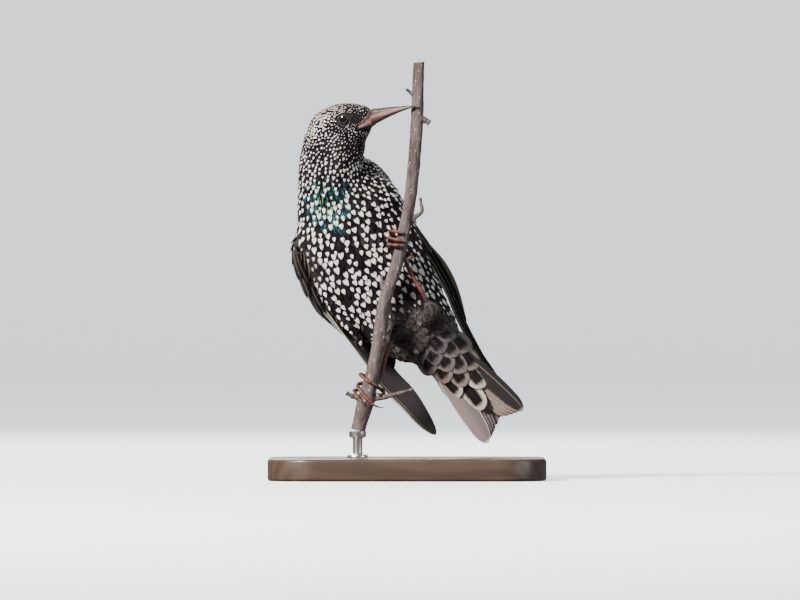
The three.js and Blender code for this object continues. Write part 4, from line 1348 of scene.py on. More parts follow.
def dress(points):
    """Roundness, sizes and markings for feathers that grow at these points."""
    count = len(points)
    x, y, z = points.T
    forward, _, up = from_head(points)
    chance, luck = rng.random((2, count))
    on_head_ = smoothstep(174, 180, z)
    breast = smoothstep(176, 166, z)
    belly = smoothstep(1.3, 0.8, np.hypot((x - 4) / 26, (z - 75) / 23)) * smoothstep(36, 27, y)
    back = smoothstep(28, 42, y) * smoothstep(182, 170, z)
    thigh = near_thigh(points)[0]
    arm = near_wrist(points)

    face = smoothstep(3, 12, forward) * on_head_
    top = smoothstep(3.5, 7, up) * on_head_
    lores = near_either(points, 12.5, 7.5, 1.6, (4.2, 6, 2.2))
    brow = near_either(points, -3, 9, 5.4, (6.5, 5, 2.2))
    ear = near_either(points, -10, 10, 0.5, (6, 5, 4))
    patch = np.clip(brow + ear, 0, 1)
    throat = smoothstep(-6, -11, up) * smoothstep(-2, 8, forward) * on_head_

    size = 0.53 + 0.24 * (chance - 0.5) - 0.06 * smoothstep(150, 168, z) - 0.10 * on_head_
    size = size * (1 - 0.22 * throat) + 0.16 * patch + 0.03 * top
    size = size * (1 - np.clip(lores * 1.5, 0, 1))
    far_side = smoothstep(-16, 0, x) * smoothstep(92, 104, z) * smoothstep(164, 150, z)
    size = size * (1 - 0.3 * far_side * (luck < 0.6))
    size = size * (1 - 0.8 * belly * (luck < 0.85)) * (1 - back * 0.45) * (1 - thigh * 0.5) * (1 - arm * 0.35)
    plain = (luck > 0.88) & (z < 165)
    size = np.where(plain, 0, size)

    warmth = 0.08 + 0.12 * chance + 0.75 * np.clip(top * (0.5 + 0.5 * face), 0, 1) + 0.75 * back + 0.6 * arm
    warmth = warmth + 0.2 * patch + 0.45 * belly * luck
    # Painted sheen: the green gloss is the bird's own, but its brightest patch is put as colour on the lit
    # upper breast.
    green = near(points, (-46, 5, 151), (15, 16, 15))
    hue = 0.12 + 0.28 * luck + (0.72 - 0.25 * smoothstep(-45, -58, x)) * green
    hue = hue + 0.6 * back * (chance > 0.3) * (1 - arm)
    hue = hue + 0.35 * near(points, (-50, 12, 172), (9, 12, 12)) * (chance > 0.5)
    dull = 0.02 + 0.06 * chance + 0.85 * belly * (1 - 0.6 * thigh) + 0.2 * thigh * (1 - belly) + 0.3 * arm
    # Painted shade: the drops are dimmed low down towards the right, and more faintly on the far side, where
    # the body lies in shade; on the belly, throat and thighs they are plainer of their own.
    shade = smoothstep(140, 95, z) * smoothstep(-48, -8, x)
    drop_shown_and_shade = 1 - 0.25 * belly - 0.2 * throat - 0.15 * far_side - 0.2 * thigh - 0.32 * shade * (0.4 + 0.6 * luck)
    stretch = luck * 0.6 + 0.35 * top + 0.5 * far_side + 0.4 * patch
    roundness = 0.15 * on_head_ + 0.1 * breast + 0.65 * belly + 0.6 * back + 0.5 * arm
    long = 2.55 + 0.15 * on_head_ + 0.25 * green + 0.25 * back
    wide = 1.42 + 0.1 * belly + 0.15 * back
    marks = np.stack([size, np.clip(warmth, 0, 1), np.clip(hue, 0, 1), chance], axis=-1)
    tints = np.stack([np.clip(dull, 0, 1), drop_shown_and_shade, np.clip(stretch, 0, 1), rng.random(count)], axis=-1)
    return np.clip(roundness, 0, 1), long, wide, marks, tints


roundness, long, wide, root_marks, root_tints = dress(roots)
lift = coat_depth(roots) * (0.85 + 0.3 * rng.random(len(roots)))
lift = lift * (1 - 0.5 * near_thigh(roots)[0]) * (1 - 0.5 * near_wrist(roots))
root_depth, root_height = roots[:, 1], roots[:, 2]
COAT = {  # pieces of the coat, by height and by side
    "feathers_head": root_height > 178,
    "feathers_neck": (root_height > 158) & (root_height <= 178),
    "feathers_breast": (root_height > 112) & (root_height <= 158) & (root_depth < 32),
    "feathers_belly": (root_height <= 112) & (root_depth < 32),
    "feathers_back": (root_height <= 158) & (root_depth >= 32),
}
for name, mask in COAT.items():
    which = np.flatnonzero(mask)
    length = long[which] * root_spacing[which]
    width = wide[which] * root_spacing[which]
    grow(name, which, roundness[which], length, width, lift[which], root_marks[which], root_tints[which])


# %% [markdown]
# Between the feathers the skin itself shows only as dark down, so its finish is a soft near black that takes
# on the same warm greys as the feathers do towards the vent.

# %% The skin's own finish
def skin_finish():
    f = Finish("starling_down")
    place = f.place()
    _, _, z = f.parts(place)
    low = z.step(0.115, 0.075)
    fluff = f.noise(f.stretched(place, (900, 900, 420)), 1.0, 5.0, 0.7)
    colour = f.mix(low, (0.014, 0.011, 0.014), (0.06, 0.05, 0.045))
    colour = f.mix(fluff.step(0.35, 0.75) * 0.5, colour, (0.035, 0.028, 0.03))
    return f.feed(Base_Color=colour, Roughness=0.75 + fluff * 0.2, Normal=f.bump(fluff, 0.0003, 0.8))


finish(skin, "skin", skin_finish(), BODY_NODES)


# %% [markdown]
# ## Bill
# The bill is two horn sheaths that meet along the mouth. Each is drawn as a row of sections from the gape to
# the tip, arched over the mouth line for the upper one and keeled below it for the lower, and its base runs
# back along the cheek to the corner of the mouth, where the feathers begin.

# %% Closed pieces from rings of corners
def tube_faces(sides, rings, ring_shaped=False):
    """Faces between rings of corners, which are capped at both ends or else joined end to end."""
    faces = []
    for r in range(rings if ring_shaped else rings - 1):
        low, high = r * sides, (r + 1) % rings * sides
        for c in range(sides):
            d = (c + 1) % sides
            faces.append((low + c, low + d, high + d, high + c))
    if not ring_shaped:
        faces += [tuple(range(sides))[::-1], tuple(range((rings - 1) * sides, rings * sides))]
    return faces


def closed_piece(name, points, faces, maps):
    """One closed piece. points and maps hold one row for each corner."""
    return face_outward(leaves_mesh(name, points.reshape(1, -1, 3), faces, maps, {}))


# %% Sections of the bill
CULMEN = reading([
    (10.6, 4.6), (17, 4.5), (19.4, 4.3), (25, 3.7), (31, 2.95), (38, 1.95), (42, 1.3), (44.1, 0.86)])
KEEL = reading([
    (10.6, -6.0), (17, -4.9), (19.4, -4.3), (23, -3.3), (27, -2.25), (33, -1), (39, -0.1), (44, 0.7)])
BILL_SIDE = reading([
    (10.6, 8.6), (14, 7.3), (17, 5.6), (19.4, 4.2), (22, 3.4), (27, 2.5), (34, 1.7), (41, 1), (44.1, 0.4)])
MOUTH = reading([(10.6, -4.3), (14, -3.2), (19.4, -1.5), (30, -0.1), (44.2, 0.8)])
BILL_MAP = "Bill"
SHEATH_START, SHEATH_END = 15.5, 44.0
SHEATH_SIDES, SHEATH_RINGS = 33, 60
GAPE_COLUMNS, GAPE_ROWS = 6, 21


def along_bill(forward):
    return (forward - 10) / 35


def horn_sheath(upper):
    """A closed half of the bill. Its map has the length of the bill as y and the way round it as x."""
    reach = SHEATH_END - SHEATH_START - (0 if upper else 0.5)
    forward = SHEATH_START + reach * (1 - (1 - np.linspace(0, 1, SHEATH_RINGS)[:, None]) ** 1.4)
    angle = np.linspace(0, math.pi, SHEATH_SIDES)[None, :]
    mouth = MOUTH(forward) + (0.09 if upper else -0.09)
    high = (CULMEN if upper else KEEL)(forward) - mouth
    wide = BILL_SIDE(forward) * (1.0 if upper else 0.93)
    side = wide * np.sign(np.cos(angle)) * np.abs(np.cos(angle)) ** 0.8
    points = on_head(forward, side, mouth + high * np.sin(angle) ** 0.95)
    flat = np.stack(np.broadcast_arrays(angle / math.pi, along_bill(forward)), axis=-1)
    return closed_piece("sheath", points, tube_faces(SHEATH_SIDES, SHEATH_RINGS), {BILL_MAP: flat})


def gape_horn(side, upper):
    """The bare base of the bill on the cheek: a thin lens of horn from the bill back to the gape."""
    rows, flat = [], []
    for share in np.linspace(0, 1, GAPE_ROWS + 1):
        f = 18.6 - 7.2 * share
        mouth = float(MOUTH(f))
        if upper:
            high, low = np.interp(share, [0, 0.25, 0.6, 0.9, 1], [2.6, 1.0, -1.2, -2.9, -3.6]), mouth + 0.12
        else:
            high, low = mouth - 0.12, np.interp(share, [0, 0.3, 0.7, 0.93, 1], [-4.4, -4.9, -5.4, -5.4, -4.9])
        for u in np.linspace(0, 1, GAPE_COLUMNS + 1):
            at = on_head(f, side * 14.0, low + (high - low) * u)
            hit = skin_tree.ray_cast(Vector(at), Vector(-side * LEFT), 20)
            inner = on_head(f, side * (float(BILL_SIDE(f)) - 0.3), low + (high - low) * u)
            base = np.array(hit[0]) if hit[0] is not None else inner
            if (base - inner) @ LEFT * side < 0:
                base = inner
            swell = 0.55 * math.sin(math.pi * min(0.93, 0.07 + u * 0.86)) ** 0.5 * (1 - share**6)
            rows.append(base + side * LEFT * (swell - 0.1))
            flat.append((0.06 + 0.3 * u if upper else 0.08 * (1 - u), along_bill(f)))
    top = np.array(rows)
    points = np.concatenate([top, top - side * LEFT * 1.2])
    faces = leaf_faces(GAPE_COLUMNS, GAPE_ROWS, both_sides=True)
    piece = closed_piece("gape", points, faces, {BILL_MAP: np.array(flat + flat)})
    modify(piece, "SUBSURF", levels=1, render_levels=1)
    return piece


def nostril_tool(side):
    """A ball drawn out along the bill, with which a nostril is cut."""
    def place(t, angle):
        ring, end = np.sin(math.pi * t), np.cos(math.pi * t)
        return on_head(
            21.3 - 1.55 * end, side * (3.3 + 0.9 * ring * np.cos(angle)),
            2.55 + 0.24 * end + 0.52 * ring * np.sin(angle))

    return mould(20, 12, place)


def cut(piece, tool):
    modify(piece, "BOOLEAN", operation="DIFFERENCE", solver="EXACT", object=tool)
    bpy.data.objects.remove(tool)


# %% Horn
UPPER_STOPS = [
    (0.0, (0.115, 0.056, 0.044)), (0.25, (0.06, 0.033, 0.028)), (0.55, (0.034, 0.021, 0.019)),
    (0.85, (0.03, 0.021, 0.019)), (1.0, (0.02, 0.016, 0.015))]
RIDGE_STOPS = [(0.2, (0.022, 0.015, 0.014)), (0.6, (0.030, 0.021, 0.020)), (0.95, (0.03, 0.024, 0.022))]
LOWER_STOPS = [
    (0.0, (0.16, 0.078, 0.060)), (0.35, (0.095, 0.032, 0.025)), (0.7, (0.045, 0.018, 0.016)),
    (1.0, (0.02, 0.015, 0.014))]


def horn_finish(upper):
    f = Finish("bill_upper" if upper else "bill_lower")
    flat = f.map(BILL_MAP)
    x, y, _ = f.parts(flat)
    edge = abs(x - 0.5) * 2
    grain = f.noise(f.stretched(flat, (24, 5, 1)), 1.0, 5.0, 0.65)
    fine = f.noise(f.stretched(flat, (120, 18, 1)), 1.0, 3.0, 0.6)
    if upper:
        colour = f.mix((1 - edge).step(0.45, 0.85), f.ramp(y, UPPER_STOPS), f.ramp(y, RIDGE_STOPS))
        # Painted highlight: a pale stripe along the mouth line, fading before the tip, stands for light on
        # the cutting edge.
        colour = f.mix(edge.step(0.72, 0.93) * (1 - y.step(0.75, 0.98)), colour, (0.27, 0.165, 0.125))
    else:
        # Painted shade: the underside of the lower mandible is darkened as if in shadow.
        colour = f.mix((1 - edge).step(0.45, 0.9), f.ramp(y, LOWER_STOPS), (0.045, 0.024, 0.022))
        # Painted highlight: a pale stripe along the lower mandible's edge at the mouth line.
        colour = f.mix(edge.step(0.9, 0.99) * 0.6, colour, (0.40, 0.25, 0.19))
    colour = f.mix(grain.step(0.42, 0.72) * 0.4, colour, (0.06, 0.035, 0.03))
    return f.feed(
        Base_Color=colour, Roughness=0.34 + grain * 0.18, Coat_Weight=0.25, Coat_Roughness=0.25,
        Normal=f.bump(grain + fine * 0.5, 0.00012, 0.5))


for upper in (True, False):
    sheath = horn_sheath(upper)
    if upper:
        cut(sheath, nostril_tool(1))
        cut(sheath, nostril_tool(-1))
    name = "bill_upper" if upper else "bill_lower"
    horn = join([sheath, gape_horn(1, upper), gape_horn(-1, upper)])
    finish(horn, f"horn_{name}", horn_finish(upper), [name], angle=40)


# %% [markdown]
# ## Eyes
# The dark eye is a ball set in a ring of bare skin. The cornea's clear gloss comes from a coat over the dark
# brown iris, and the lids are a ring turned round the opening, with a small bead along its edge.

# %% Eyes and lids
EYE_MAP = "Eye"
LID_SIDES = 72
LID_PROFILE = [  # distance from the eye's axis, then distance out from its centre
    (2.1, 3.4), (2.18, 3.61), (2.27, 3.70), (2.42, 3.68), (2.6, 3.48), (2.8, 3.12), (3.1, 2.75), (3.6, 2.2),
    (4.3, 1.5), (4.4, 0.3), (3.0, 0.3)]
CORNEA = 0.62  # how far from the axis the clear part swells, as an angle


def add_eye(side):
    centre, axis = eye_centre(side), side * LEFT

    def place(t, angle):
        polar = math.pi * t
        radius = EYE_RADIUS * (0.985 + 0.014 * np.exp(-((polar / CORNEA) ** 4)))
        flat = (radius * np.sin(polar))[:, None]
        return centre + axis * (radius * np.cos(polar))[:, None] + flat * (
            np.cos(angle)[:, None] * FORWARD + np.sin(angle)[:, None] * UP)

    eye = mould(48, 40, place)
    offset = millimetres(corners(eye)) - centre
    flat = np.stack([offset @ FORWARD, offset @ UP], axis=-1) / 10 + 0.5
    flat[offset @ axis < 0] = 0.02
    layer = eye.data.uv_layers.new(name=EYE_MAP)
    loops = [loop.vertex_index for loop in eye.data.loops]
    layer.data.foreach_set("uv", flat[loops].astype(np.float32).ravel())
    return eye


def add_lids(side):
    """A ring of skin round the opening."""
    centre, axis = eye_centre(side), side * LEFT
    turn = np.arange(LID_SIDES) / LID_SIDES * 2 * math.pi
    rows = []
    for radius, height in LID_PROFILE:
        ripple = 0.05 * np.sin(turn * 23) * (2.5 < radius < 4.0)
        r = radius * (1 + 0.045 * np.cos(2 * turn))
        points = centre + axis * (height + ripple)[:, None]
        rows.append(points + (r * np.cos(turn))[:, None] * FORWARD + (r * np.sin(turn) * 0.97)[:, None] * UP)
    faces = tube_faces(LID_SIDES, len(LID_PROFILE), ring_shaped=True)
    piece = closed_piece("lids", np.concatenate(rows), faces, {})
    modify(piece, "SUBSURF", levels=1, render_levels=1)
    return piece


def eye_finish():
    f = Finish("eye")
    x, y, _ = f.parts(f.map(EYE_MAP))
    across, high = (x - 0.5) * 10, (y - 0.5) * 10
    radius = (across * across + high * high) ** 0.5
    streaks = f.noise(f.stretched(f.map(EYE_MAP), (60, 60, 1)), 1.0, 4.0)
    iris = f.mix(streaks, (0.012, 0.006, 0.004), (0.034, 0.015, 0.009))
    colour = f.mix(radius.step(1.45, 1.62), (0.002, 0.002, 0.002), iris)
    colour = f.mix(radius.step(2.25, 2.6), colour, (0.010, 0.006, 0.005))
    return f.feed(Base_Color=colour, Roughness=0.12, IOR=1.4, Coat_Weight=1.0, Coat_Roughness=0.02)


def lid_finish():
    f = Finish("lids")
    fine = f.noise(f.place(), 2600.0, 4.0, 0.7)
    colour = f.mix(fine.step(0.4, 0.65), (0.008, 0.006, 0.006), (0.030, 0.018, 0.015))
    return f.feed(Base_Color=colour, Roughness=0.5, Normal=f.bump(fine, 0.0002, 0.7))


EYE = eye_finish()
LIDS = lid_finish()
for name, side in (("eye_right", -1), ("eye_left", 1)):
    finish(add_eye(side), f"ball_{name}", EYE, [name])
    finish(add_lids(side), f"lids_{name}", LIDS)


# %% [markdown]
# ## Feet
# A leg, a toe, a claw and a twig are all a round section carried along a curved path. What differs is how
# thick they are at each place and each way round: a toe has scutes over its top and pads beneath. The top of
# a toe is the side that faces away from the stem it grips.

# %% Carrying a section along a path
LIMB_MAP = "Limb"  # x tells how near the top a place is, and y how far along, in toe lengths of scutes
SCUTES = 26


def sweep(name, path, radius_at, up, sides=18, rings=80, start=0.0, end=1.0, scutes=SCUTES):
    """radius_at(share, angle) gives the thickness; angle 0 is the top, and share runs from 0 to 1."""
    share = np.linspace(start, end, rings)
    centre, tangent = path.at(share * path.length), path.tangent(share * path.length)
    top = np.broadcast_to(up(centre) if callable(up) else np.array(up, float), centre.shape)
    top = unit(top - (top * tangent).sum(axis=1, keepdims=True) * tangent)
    side = np.cross(tangent, top)
    angle = np.arange(sides) / sides * 2 * math.pi
    radius = radius_at(share[:, None], angle[None, :]) * np.ones((rings, sides))
    rim = np.cos(angle)[None, :, None] * top[:, None] + np.sin(angle)[None, :, None] * side[:, None]
    points = centre[:, None] + radius[..., None] * rim
    topness = 0.5 + 0.5 * np.cos(angle)
    flat = np.stack(np.broadcast_arrays(topness[None, :], share[:, None] * scutes / SCUTES), axis=-1)
    return closed_piece(name, points, tube_faces(sides, rings), {LIMB_MAP: flat})


# %% [markdown]
# The stem leans to the left at its foot and has six cut twigs. All its tubes are melted into one by a
# voxel remesh, which gives each twig the swollen collar that real wood grows round it.

# %% The stem's shape
STEM = Path([
    (6.4, 5.6, 232), (5.9, 5.2, 216), (5.1, 4.5, 189), (1.6, 3.2, 151.4), (-2.2, 2.6, 132.4),
    (-5.9, 2.1, 116), (-11.9, 1.5, 97.3), (-15.9, 0.7, 70.3), (-22.2, 0, 43.2), (-27.4, -0.4, 24),
    (-29.2, -0.5, 17)])
STEM_RADIUS = reading([
    (0, 2.9), (0.2, 3.4), (0.5, 3.25), (0.7, 3.65), (0.82, 3.85), (0.88, 4.75), (0.92, 4.05), (1, 4.2)])
STEM_TOP, STEM_FOOT = 225.9, 27.1
STEM_VOXEL = 0.36
BARK_WAVES = 26
BARK_DEPTH = 0.055
TWIGS = [  # path, thickness at its foot and at its end
    ([(5.2, 4.6, 203), (3.6, 3.6, 207), (2.4, 3.1, 208.6), (-0.5, 2.2, 211)], 1.7, 0.8),
    ([(5.4, 4.4, 196), (9, 3.4, 194.6), (12.2, 2.8, 192.7)], 2.0, 1.55),
    ([(1, 3, 139), (5, 2.6, 142.4), (8, 2.2, 145), (7.6, 2.0, 149), (7.2, 1.8, 152.4)], 1.7, 0.8),
    ([(-10.6, 1.6, 100), (-13, 0.8, 104), (-13.8, 0.4, 110.4)], 1.9, 0.9),
    ([(-21.4, 0, 44), (-13, -1, 44.8), (-6, -1.4, 46.6), (3.0, -1.6, 49.3)], 2.0, 0.8),
    ([(-22.4, 0, 43), (-28, -0.6, 45), (-32.8, -0.8, 47.3)], 1.9, 1.1),
]


def bark_relief(share, angle, length, seed):
    """Long ridges and small bumps, as a sum of waves with chance phases."""
    waves = np.random.default_rng(seed)
    relief = 0 * share * angle
    for _ in range(BARK_WAVES):
        turns = waves.integers(1, 9)
        along = waves.normal(0, 0.10 * turns + 0.12)
        relief = relief + np.sin(turns * angle + along * share * length + waves.uniform(0, 6.28)) / turns**0.6
    return relief * BARK_DEPTH


def make_stem():
    z = STEM.points[:, 2]
    top, foot = (np.interp(-height, -z, STEM.along) / STEM.length for height in (STEM_TOP, STEM_FOOT))

    def stem_thickness(t, angle):
        return STEM_RADIUS(t) + bark_relief(t, angle, STEM.length, 1)

    pieces = [sweep("stem", STEM, stem_thickness, (0, -1, 0), sides=64, rings=500, start=top, end=foot)]
    for i, (points, thick, thin) in enumerate(TWIGS):
        path = Path(points)

        def twig_thickness(t, angle):
            knots = 0.12 * (i % 2 + 1) * np.sin(t * 21) * t
            return thick + (thin - thick) * t**0.7 + bark_relief(t, angle, path.length, i + 2) * 0.5 + knots

        pieces.append(sweep("twig", path, twig_thickness, (0, -1, 0.1), sides=24, rings=60))
    stem = join(pieces)
    modify(stem, "REMESH", mode="VOXEL", voxel_size=STEM_VOXEL * MM)
    modify(stem, "SMOOTH", factor=0.5, iterations=3)
    return stem


def bark_finish():
    f = Finish("bark")
    place = f.place()
    _, _, z = f.parts(place)
    streak = f.noise(f.stretched(place, (1500, 1500, 130)), 1.0, 6.0, 0.68)
    patch = f.noise(f.stretched(place, (260, 260, 60)), 1.0, 3.0, 0.5)
    fine = f.noise(place, 3200.0, 4.0, 0.65)
    colour = f.ramp(streak, [(0.25, (0.012, 0.008, 0.008)), (0.43, (0.055, 0.034, 0.032)),
                             (0.58, (0.13, 0.090, 0.083)), (0.76, (0.27, 0.21, 0.20))])
    colour = f.mix(patch.step(0.42, 0.66) * 0.35, colour, (0.17, 0.135, 0.13))
    colour = f.mix((1 - patch).step(0.5, 0.68) * 0.6, colour, (0.038, 0.021, 0.019))
    pores = f.cells(f.stretched(place, (420, 420, 230)), 1.0)
    pore = 1 - pores.step(0.10, 0.2)
    colour = f.mix(pore * 0.75, colour, (0.52, 0.44, 0.36))
    cut = z.step((STEM_TOP - 0.9) * MM, (STEM_TOP - 0.4) * MM)
    ring = f.noise(f.stretched(place, (2600, 2600, 20)), 1.0, 3.0)
    colour = f.mix(cut, colour, f.mix(ring, (0.42, 0.30, 0.18), (0.62, 0.48, 0.32)))
    relief = streak * (1 - cut) + pore * 0.5 + fine * 0.3
    return f.feed(Base_Color=colour, Roughness=0.78, Normal=f.bump(relief, 0.0006, 0.8))


finish(make_stem(), "stem", bark_finish(), ["perch"], angle=70)


# %% [markdown]
# Toes grip by wrapping round the stem, three from one side and the hind toe from the other. The scutes are
# steps in thickness across the top, like tiles, and the pads swell between the joints on the underside.

# %% Legs and toes
LEGS = {
    "left": dict(
        tarsus=[
            (14.6, 12.6, 88), (12.6, 9.6, 92.6), (7.6, 7.6, 102.4), (2.2, 7.4, 111.5), (-3.4, 8.2, 124.6)],
        toes=[
            [(-3.4, 8.2, 124.8), (-9.6, 5, 129.4), (-9.2, -0.6, 130.6), (-5.4, -2.9, 129.6),
             (0.2, -2.2, 128.6), (2.2, 0.2, 127.2)],
            [(-3.4, 8.2, 124.6), (-9.4, 5, 126.4), (-9.8, 0.2, 127.2), (-6.4, -2.9, 126.8), (-1.6, -3, 126.6),
             (1.4, -0.9, 125.2)],
            [(-3.6, 8.2, 125), (-8.6, 5.2, 132.4), (-8.4, 0.2, 134.4), (-5, -2.2, 134), (-1.6, -2.7, 133.2),
             (1, -1.8, 131.8)],
            [(-3.2, 8.2, 124.4), (0.4, 8, 122.4), (2.4, 4.6, 121), (1.6, 0.4, 120), (-1.6, -2.2, 118.8)],
        ]),
    "right": dict(
        tarsus=[(-3.4, 15.6, 83.6), (-6.6, 12.4, 78.4), (-10.6, 9.6, 69.6), (-13, 8, 60.6), (-17, 6.8, 51)],
        toes=[
            [(-17, 6.8, 51.2), (-21.8, 6.2, 55.6), (-25, 1.6, 57.4), (-22, -3.8, 54.4), (-17, -4, 51.6),
             (-13.6, -1.2, 49)],
            [(-17, 6.8, 51), (-22.6, 5.8, 52.4), (-26.6, 1.4, 51.6), (-24.8, -3.9, 48.2), (-21.4, -5.8, 44),
             (-17.8, -5.5, 40.8), (-14.8, -4.4, 39.6), (-11.9, -3.4, 39.4)],
            [(-17, 6.8, 50.8), (-22.4, 7, 49.4), (-27.4, 3.4, 48.7), (-28.3, -0.4, 48.3), (-26.8, -3.8, 45.4),
             (-23.6, -5.7, 41.8), (-20.6, -5.6, 39)],
            [(-16.6, 6.8, 50.8), (-13, 5, 48.2), (-13, 0.8, 46.2), (-15, -3.2, 46.6), (-17.6, -4.8, 47.6)],
        ]),
}
TARSUS_RADIUS = 1.22
TARSUS_SCUTES = 11
TOE_RADIUS = 1.0
CLAW_SHARE = 0.78  # where a toe's path comes to its claw
LEG_STOPS = [(0.3, (0.05, 0.012, 0.009)), (0.5, (0.12, 0.024, 0.014)), (0.72, (0.20, 0.050, 0.025))]


def from_stem(points):
    """Which way is out from the stem."""
    middle = STEM.points[::4]
    gap = np.linalg.norm(points[:, None, :] - middle[None], axis=2)
    return points - middle[gap.argmin(axis=1)]


def toe_thickness(t, angle):
    top = np.cos(angle)
    joint = np.cos(t * SCUTES / CLAW_SHARE * 0.8)
    scute = 0.075 * (1 - (t * SCUTES) % 1) * smoothstep(-0.1, 0.4, top)
    pad_ = 0.13 * smoothstep(-0.1, -0.8, top) * (0.5 - 0.5 * joint)
    end = np.sqrt(np.clip(1 - ((t - CLAW_SHARE + 0.035) / 0.035).clip(0, 0.97) ** 2, 0, 1))
    return TOE_RADIUS * (0.96 + 0.11 * joint + scute + pad_) * (1.12 - 0.25 * t) * end


def tarsus_thickness(t, angle):
    top = np.cos(angle)
    heel = 0.42 * np.exp(-((t * 7) ** 2)) + 0.3 * np.exp(-(((1 - t) * 8) ** 2))
    scute = 0.06 * (1 - (t * TARSUS_SCUTES) % 1) * smoothstep(0.0, 0.5, top)
    blade = 0.14 * smoothstep(-0.4, -1, top) - 0.08 * np.sin(angle) ** 2
    return TARSUS_RADIUS * (1 + heel + scute + blade)


def claw_thickness(t, angle):
    share = np.clip((t - CLAW_SHARE + 0.02) / (1.02 - CLAW_SHARE), 0, 1)
    return (0.82 - 0.72 * share**1.15) * (1 + 0.12 * np.cos(angle) - 0.1 * np.sin(angle) ** 2)


def leg_finish():
    f = Finish("leg_skin")
    place = f.place()
    top, along, _ = f.parts(f.map(LIMB_MAP))
    cells = f.cells(place, 1500.0)
    fine = f.noise(place, 2400.0, 4.0, 0.65)
    colour = f.ramp(f.noise(place, 420.0, 2.0, 0.5), LEG_STOPS)
    colour = f.mix(cells.step(0.5, 0.8) * 0.5, colour, (0.05, 0.016, 0.013))
    colour = f.mix((1 - top).step(0.55, 0.95) * 0.4, colour, (0.14, 0.065, 0.045))
    crease = (along * SCUTES * 2 * math.pi).sine()
    joint = (along * 26.7 + math.pi / 2).sine()
    colour = f.mix(joint.step(-0.1, -0.95) * 0.75, colour, (0.032, 0.014, 0.013))
    colour = f.mix(crease.step(0.6, 1.0) * 0.4, colour, (0.04, 0.015, 0.012))
    scale = cells * -0.8 + fine * 0.35
    return f.feed(Base_Color=colour, Roughness=0.42 + fine * 0.2, Normal=f.bump(scale, 0.00025, 0.7))


def claw_finish():
    f = Finish("claw")
    _, along, _ = f.parts(f.map(LIMB_MAP))
    grain = f.noise(f.stretched(f.map(LIMB_MAP), (9, 40, 1)), 1.0, 3.0)
    colour = f.mix(along.step(0.76, 0.9), (0.13, 0.075, 0.055), (0.022, 0.017, 0.016))
    colour = f.mix(grain.step(0.4, 0.7) * 0.4, colour, (0.17, 0.12, 0.10))
    return f.feed(Base_Color=colour, Roughness=0.3 + grain * 0.15, Coat_Weight=0.2)


LEG_SKIN, CLAW = leg_finish(), claw_finish()
for side, leg in LEGS.items():
    tarsus = Path(leg["tarsus"])
    pieces = [sweep(
        "tarsus", tarsus, tarsus_thickness, (0, -1, 0.1), sides=28, rings=150, scutes=TARSUS_SCUTES)]
    claws = []
    for points in leg["toes"]:
        path = Path(points)
        pieces.append(sweep("toe", path, toe_thickness, from_stem, sides=20, rings=150, end=CLAW_SHARE))
        claws.append(sweep(
            "claw", path, claw_thickness, from_stem, sides=14, rings=30, start=CLAW_SHARE - 0.015))
    skin_nodes = [f"tarsus_{side}", f"foot_{side}"]
    finish(join(pieces), f"leg_skin_{side}", LEG_SKIN, skin_nodes, angle=80)
    claw_nodes = [f"claw_{side}_{i}" for i in range(1, 5)]
    finish(join(claws), f"claws_{side}", CLAW, claw_nodes, angle=60)


# %% [markdown]
# ## Stand
# The base is a board with rounded corners and a small round along its edges, stained dark. A short turned
# steel rod holds the foot of the stem, just high enough for the tail to hang clear of the wood.

# %% Base and rod
BASE = (150, 118, 12)
BASE_CORNER = 26
BASE_ROUND = 1.6
ROD_TURN_STEPS = 64
ROD_AT = (-26.6, -0.4)
ROD_PROFILE = [
    (0, 12.3), (5.5, 12.3), (5.6, 12.5), (5.6, 13.5), (5.3, 13.9), (3.1, 14.4), (2.6, 14.9), (2.6, 22.4),
    (2.9, 23.1), (4.4, 23.6), (4.6, 23.9), (4.6, 26.5), (4.4, 26.7), (0, 26.7)]


def add_base():
    bpy.ops.object.select_all(action="DESELECT")
    bpy.ops.mesh.primitive_cube_add(size=1, location=(0, 0, BASE[2] / 2 * MM))
    base = bpy.context.object
    base.scale = [side * MM for side in BASE]
    settle(base)
    for width, segments, upright in ((BASE_CORNER, 16, True), (BASE_ROUND, 5, False)):
        edit(base, select=False)
        bpy.ops.mesh.select_mode(type="EDGE")
        done()
        points = corners(base)
        for edge in base.data.edges:
            a, b = (points[i] for i in edge.vertices)
            edge.select = (abs(a[2] - b[2]) > 0.005) == upright
        bpy.ops.object.mode_set(mode="EDIT")
        bpy.ops.mesh.bevel(offset=width * MM, segments=segments, profile=0.5, affect="EDGES")
        done()
    return base


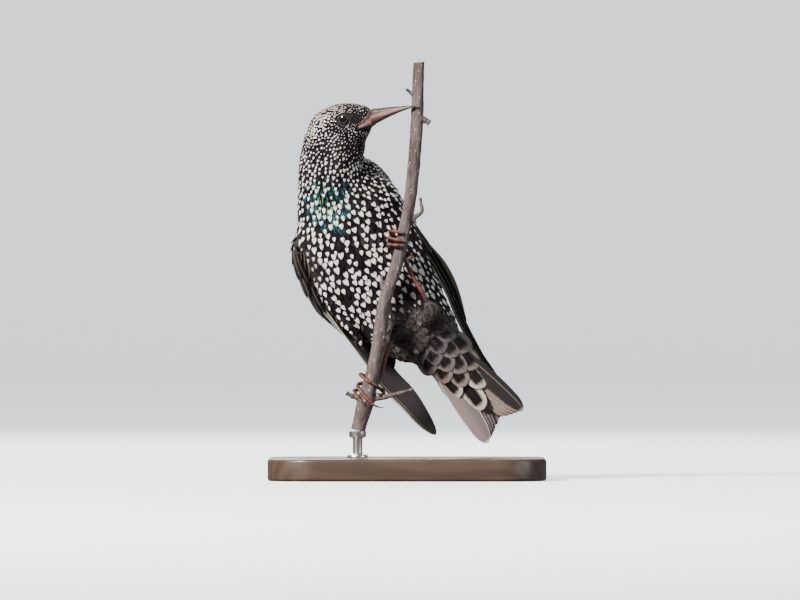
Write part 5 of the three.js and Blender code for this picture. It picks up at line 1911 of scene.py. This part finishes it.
def add_rod():
    bpy.ops.object.select_all(action="DESELECT")
    bpy.ops.mesh.primitive_plane_add(size=0.001)
    rod = bpy.context.object
    edit(rod)
    bpy.ops.mesh.delete(type="VERT")
    done()
    axis = metres([(*ROD_AT, 0)])[0]
    points = [(axis[0] + r * MM, axis[1], z * MM) for r, z in ROD_PROFILE]
    rod.data.vertices.add(len(points))
    rod.data.edges.add(len(points) - 1)
    for i, point in enumerate(points):
        rod.data.vertices[i].co = point
        if i:
            rod.data.edges[i - 1].vertices = (i - 1, i)
    edit(rod)
    bpy.ops.mesh.spin(steps=ROD_TURN_STEPS, angle=2 * math.pi, center=tuple(axis), axis=(0, 0, 1))
    bpy.ops.mesh.select_all(action="SELECT")
    bpy.ops.mesh.remove_doubles(threshold=1e-6)
    done()
    return face_outward(rod)


def wood_finish():
    f = Finish("base_wood")
    place = f.place()
    warp = f.noise(f.stretched(place, (6, 26, 26)), 1.0, 3.0)
    _, y, z = f.parts(place)
    rings = (y * 900 + z * 300 + warp * 26).sine()
    fibre = f.noise(f.stretched(place, (60, 1900, 1900)), 1.0, 5.0, 0.65)
    colour = f.mix(rings.step(-0.9, 0.9), (0.055, 0.030, 0.018), (0.078, 0.044, 0.026))
    colour = f.mix(fibre.step(0.35, 0.7) * 0.5, colour, (0.035, 0.019, 0.012))
    return f.feed(
        Base_Color=colour, Roughness=0.42 + fibre * 0.15, Coat_Weight=0.35, Coat_Roughness=0.18,
        Normal=f.bump(fibre, 0.0002, 0.35))


def steel_finish():
    f = Finish("rod_steel")
    turned = f.noise(f.stretched(f.place(), (40, 40, 5200)), 1.0, 3.0)
    return f.feed(
        Base_Color=f.mix(turned, (0.50, 0.50, 0.49), (0.66, 0.66, 0.65)), Metallic=1.0,
        Roughness=0.26 + turned * 0.12, Normal=f.bump(turned, 0.00004, 0.3))


def floor_finish():
    f = Finish("floor_paper")
    fibre = f.noise(f.place(), 900.0, 3.0)
    paper = f.mix(fibre, (0.83, 0.83, 0.82), (0.87, 0.87, 0.86))
    return f.feed(Base_Color=paper, Emission_Color=(0.86, 0.9, 0.95), Emission_Strength=1.25, Roughness=0.9)


finish(add_base(), "base", wood_finish(), ["stand_base"], angle=35)
finish(add_rod(), "rod", steel_finish(), ["stand_rod"], angle=40)
add_floor(floor_finish())
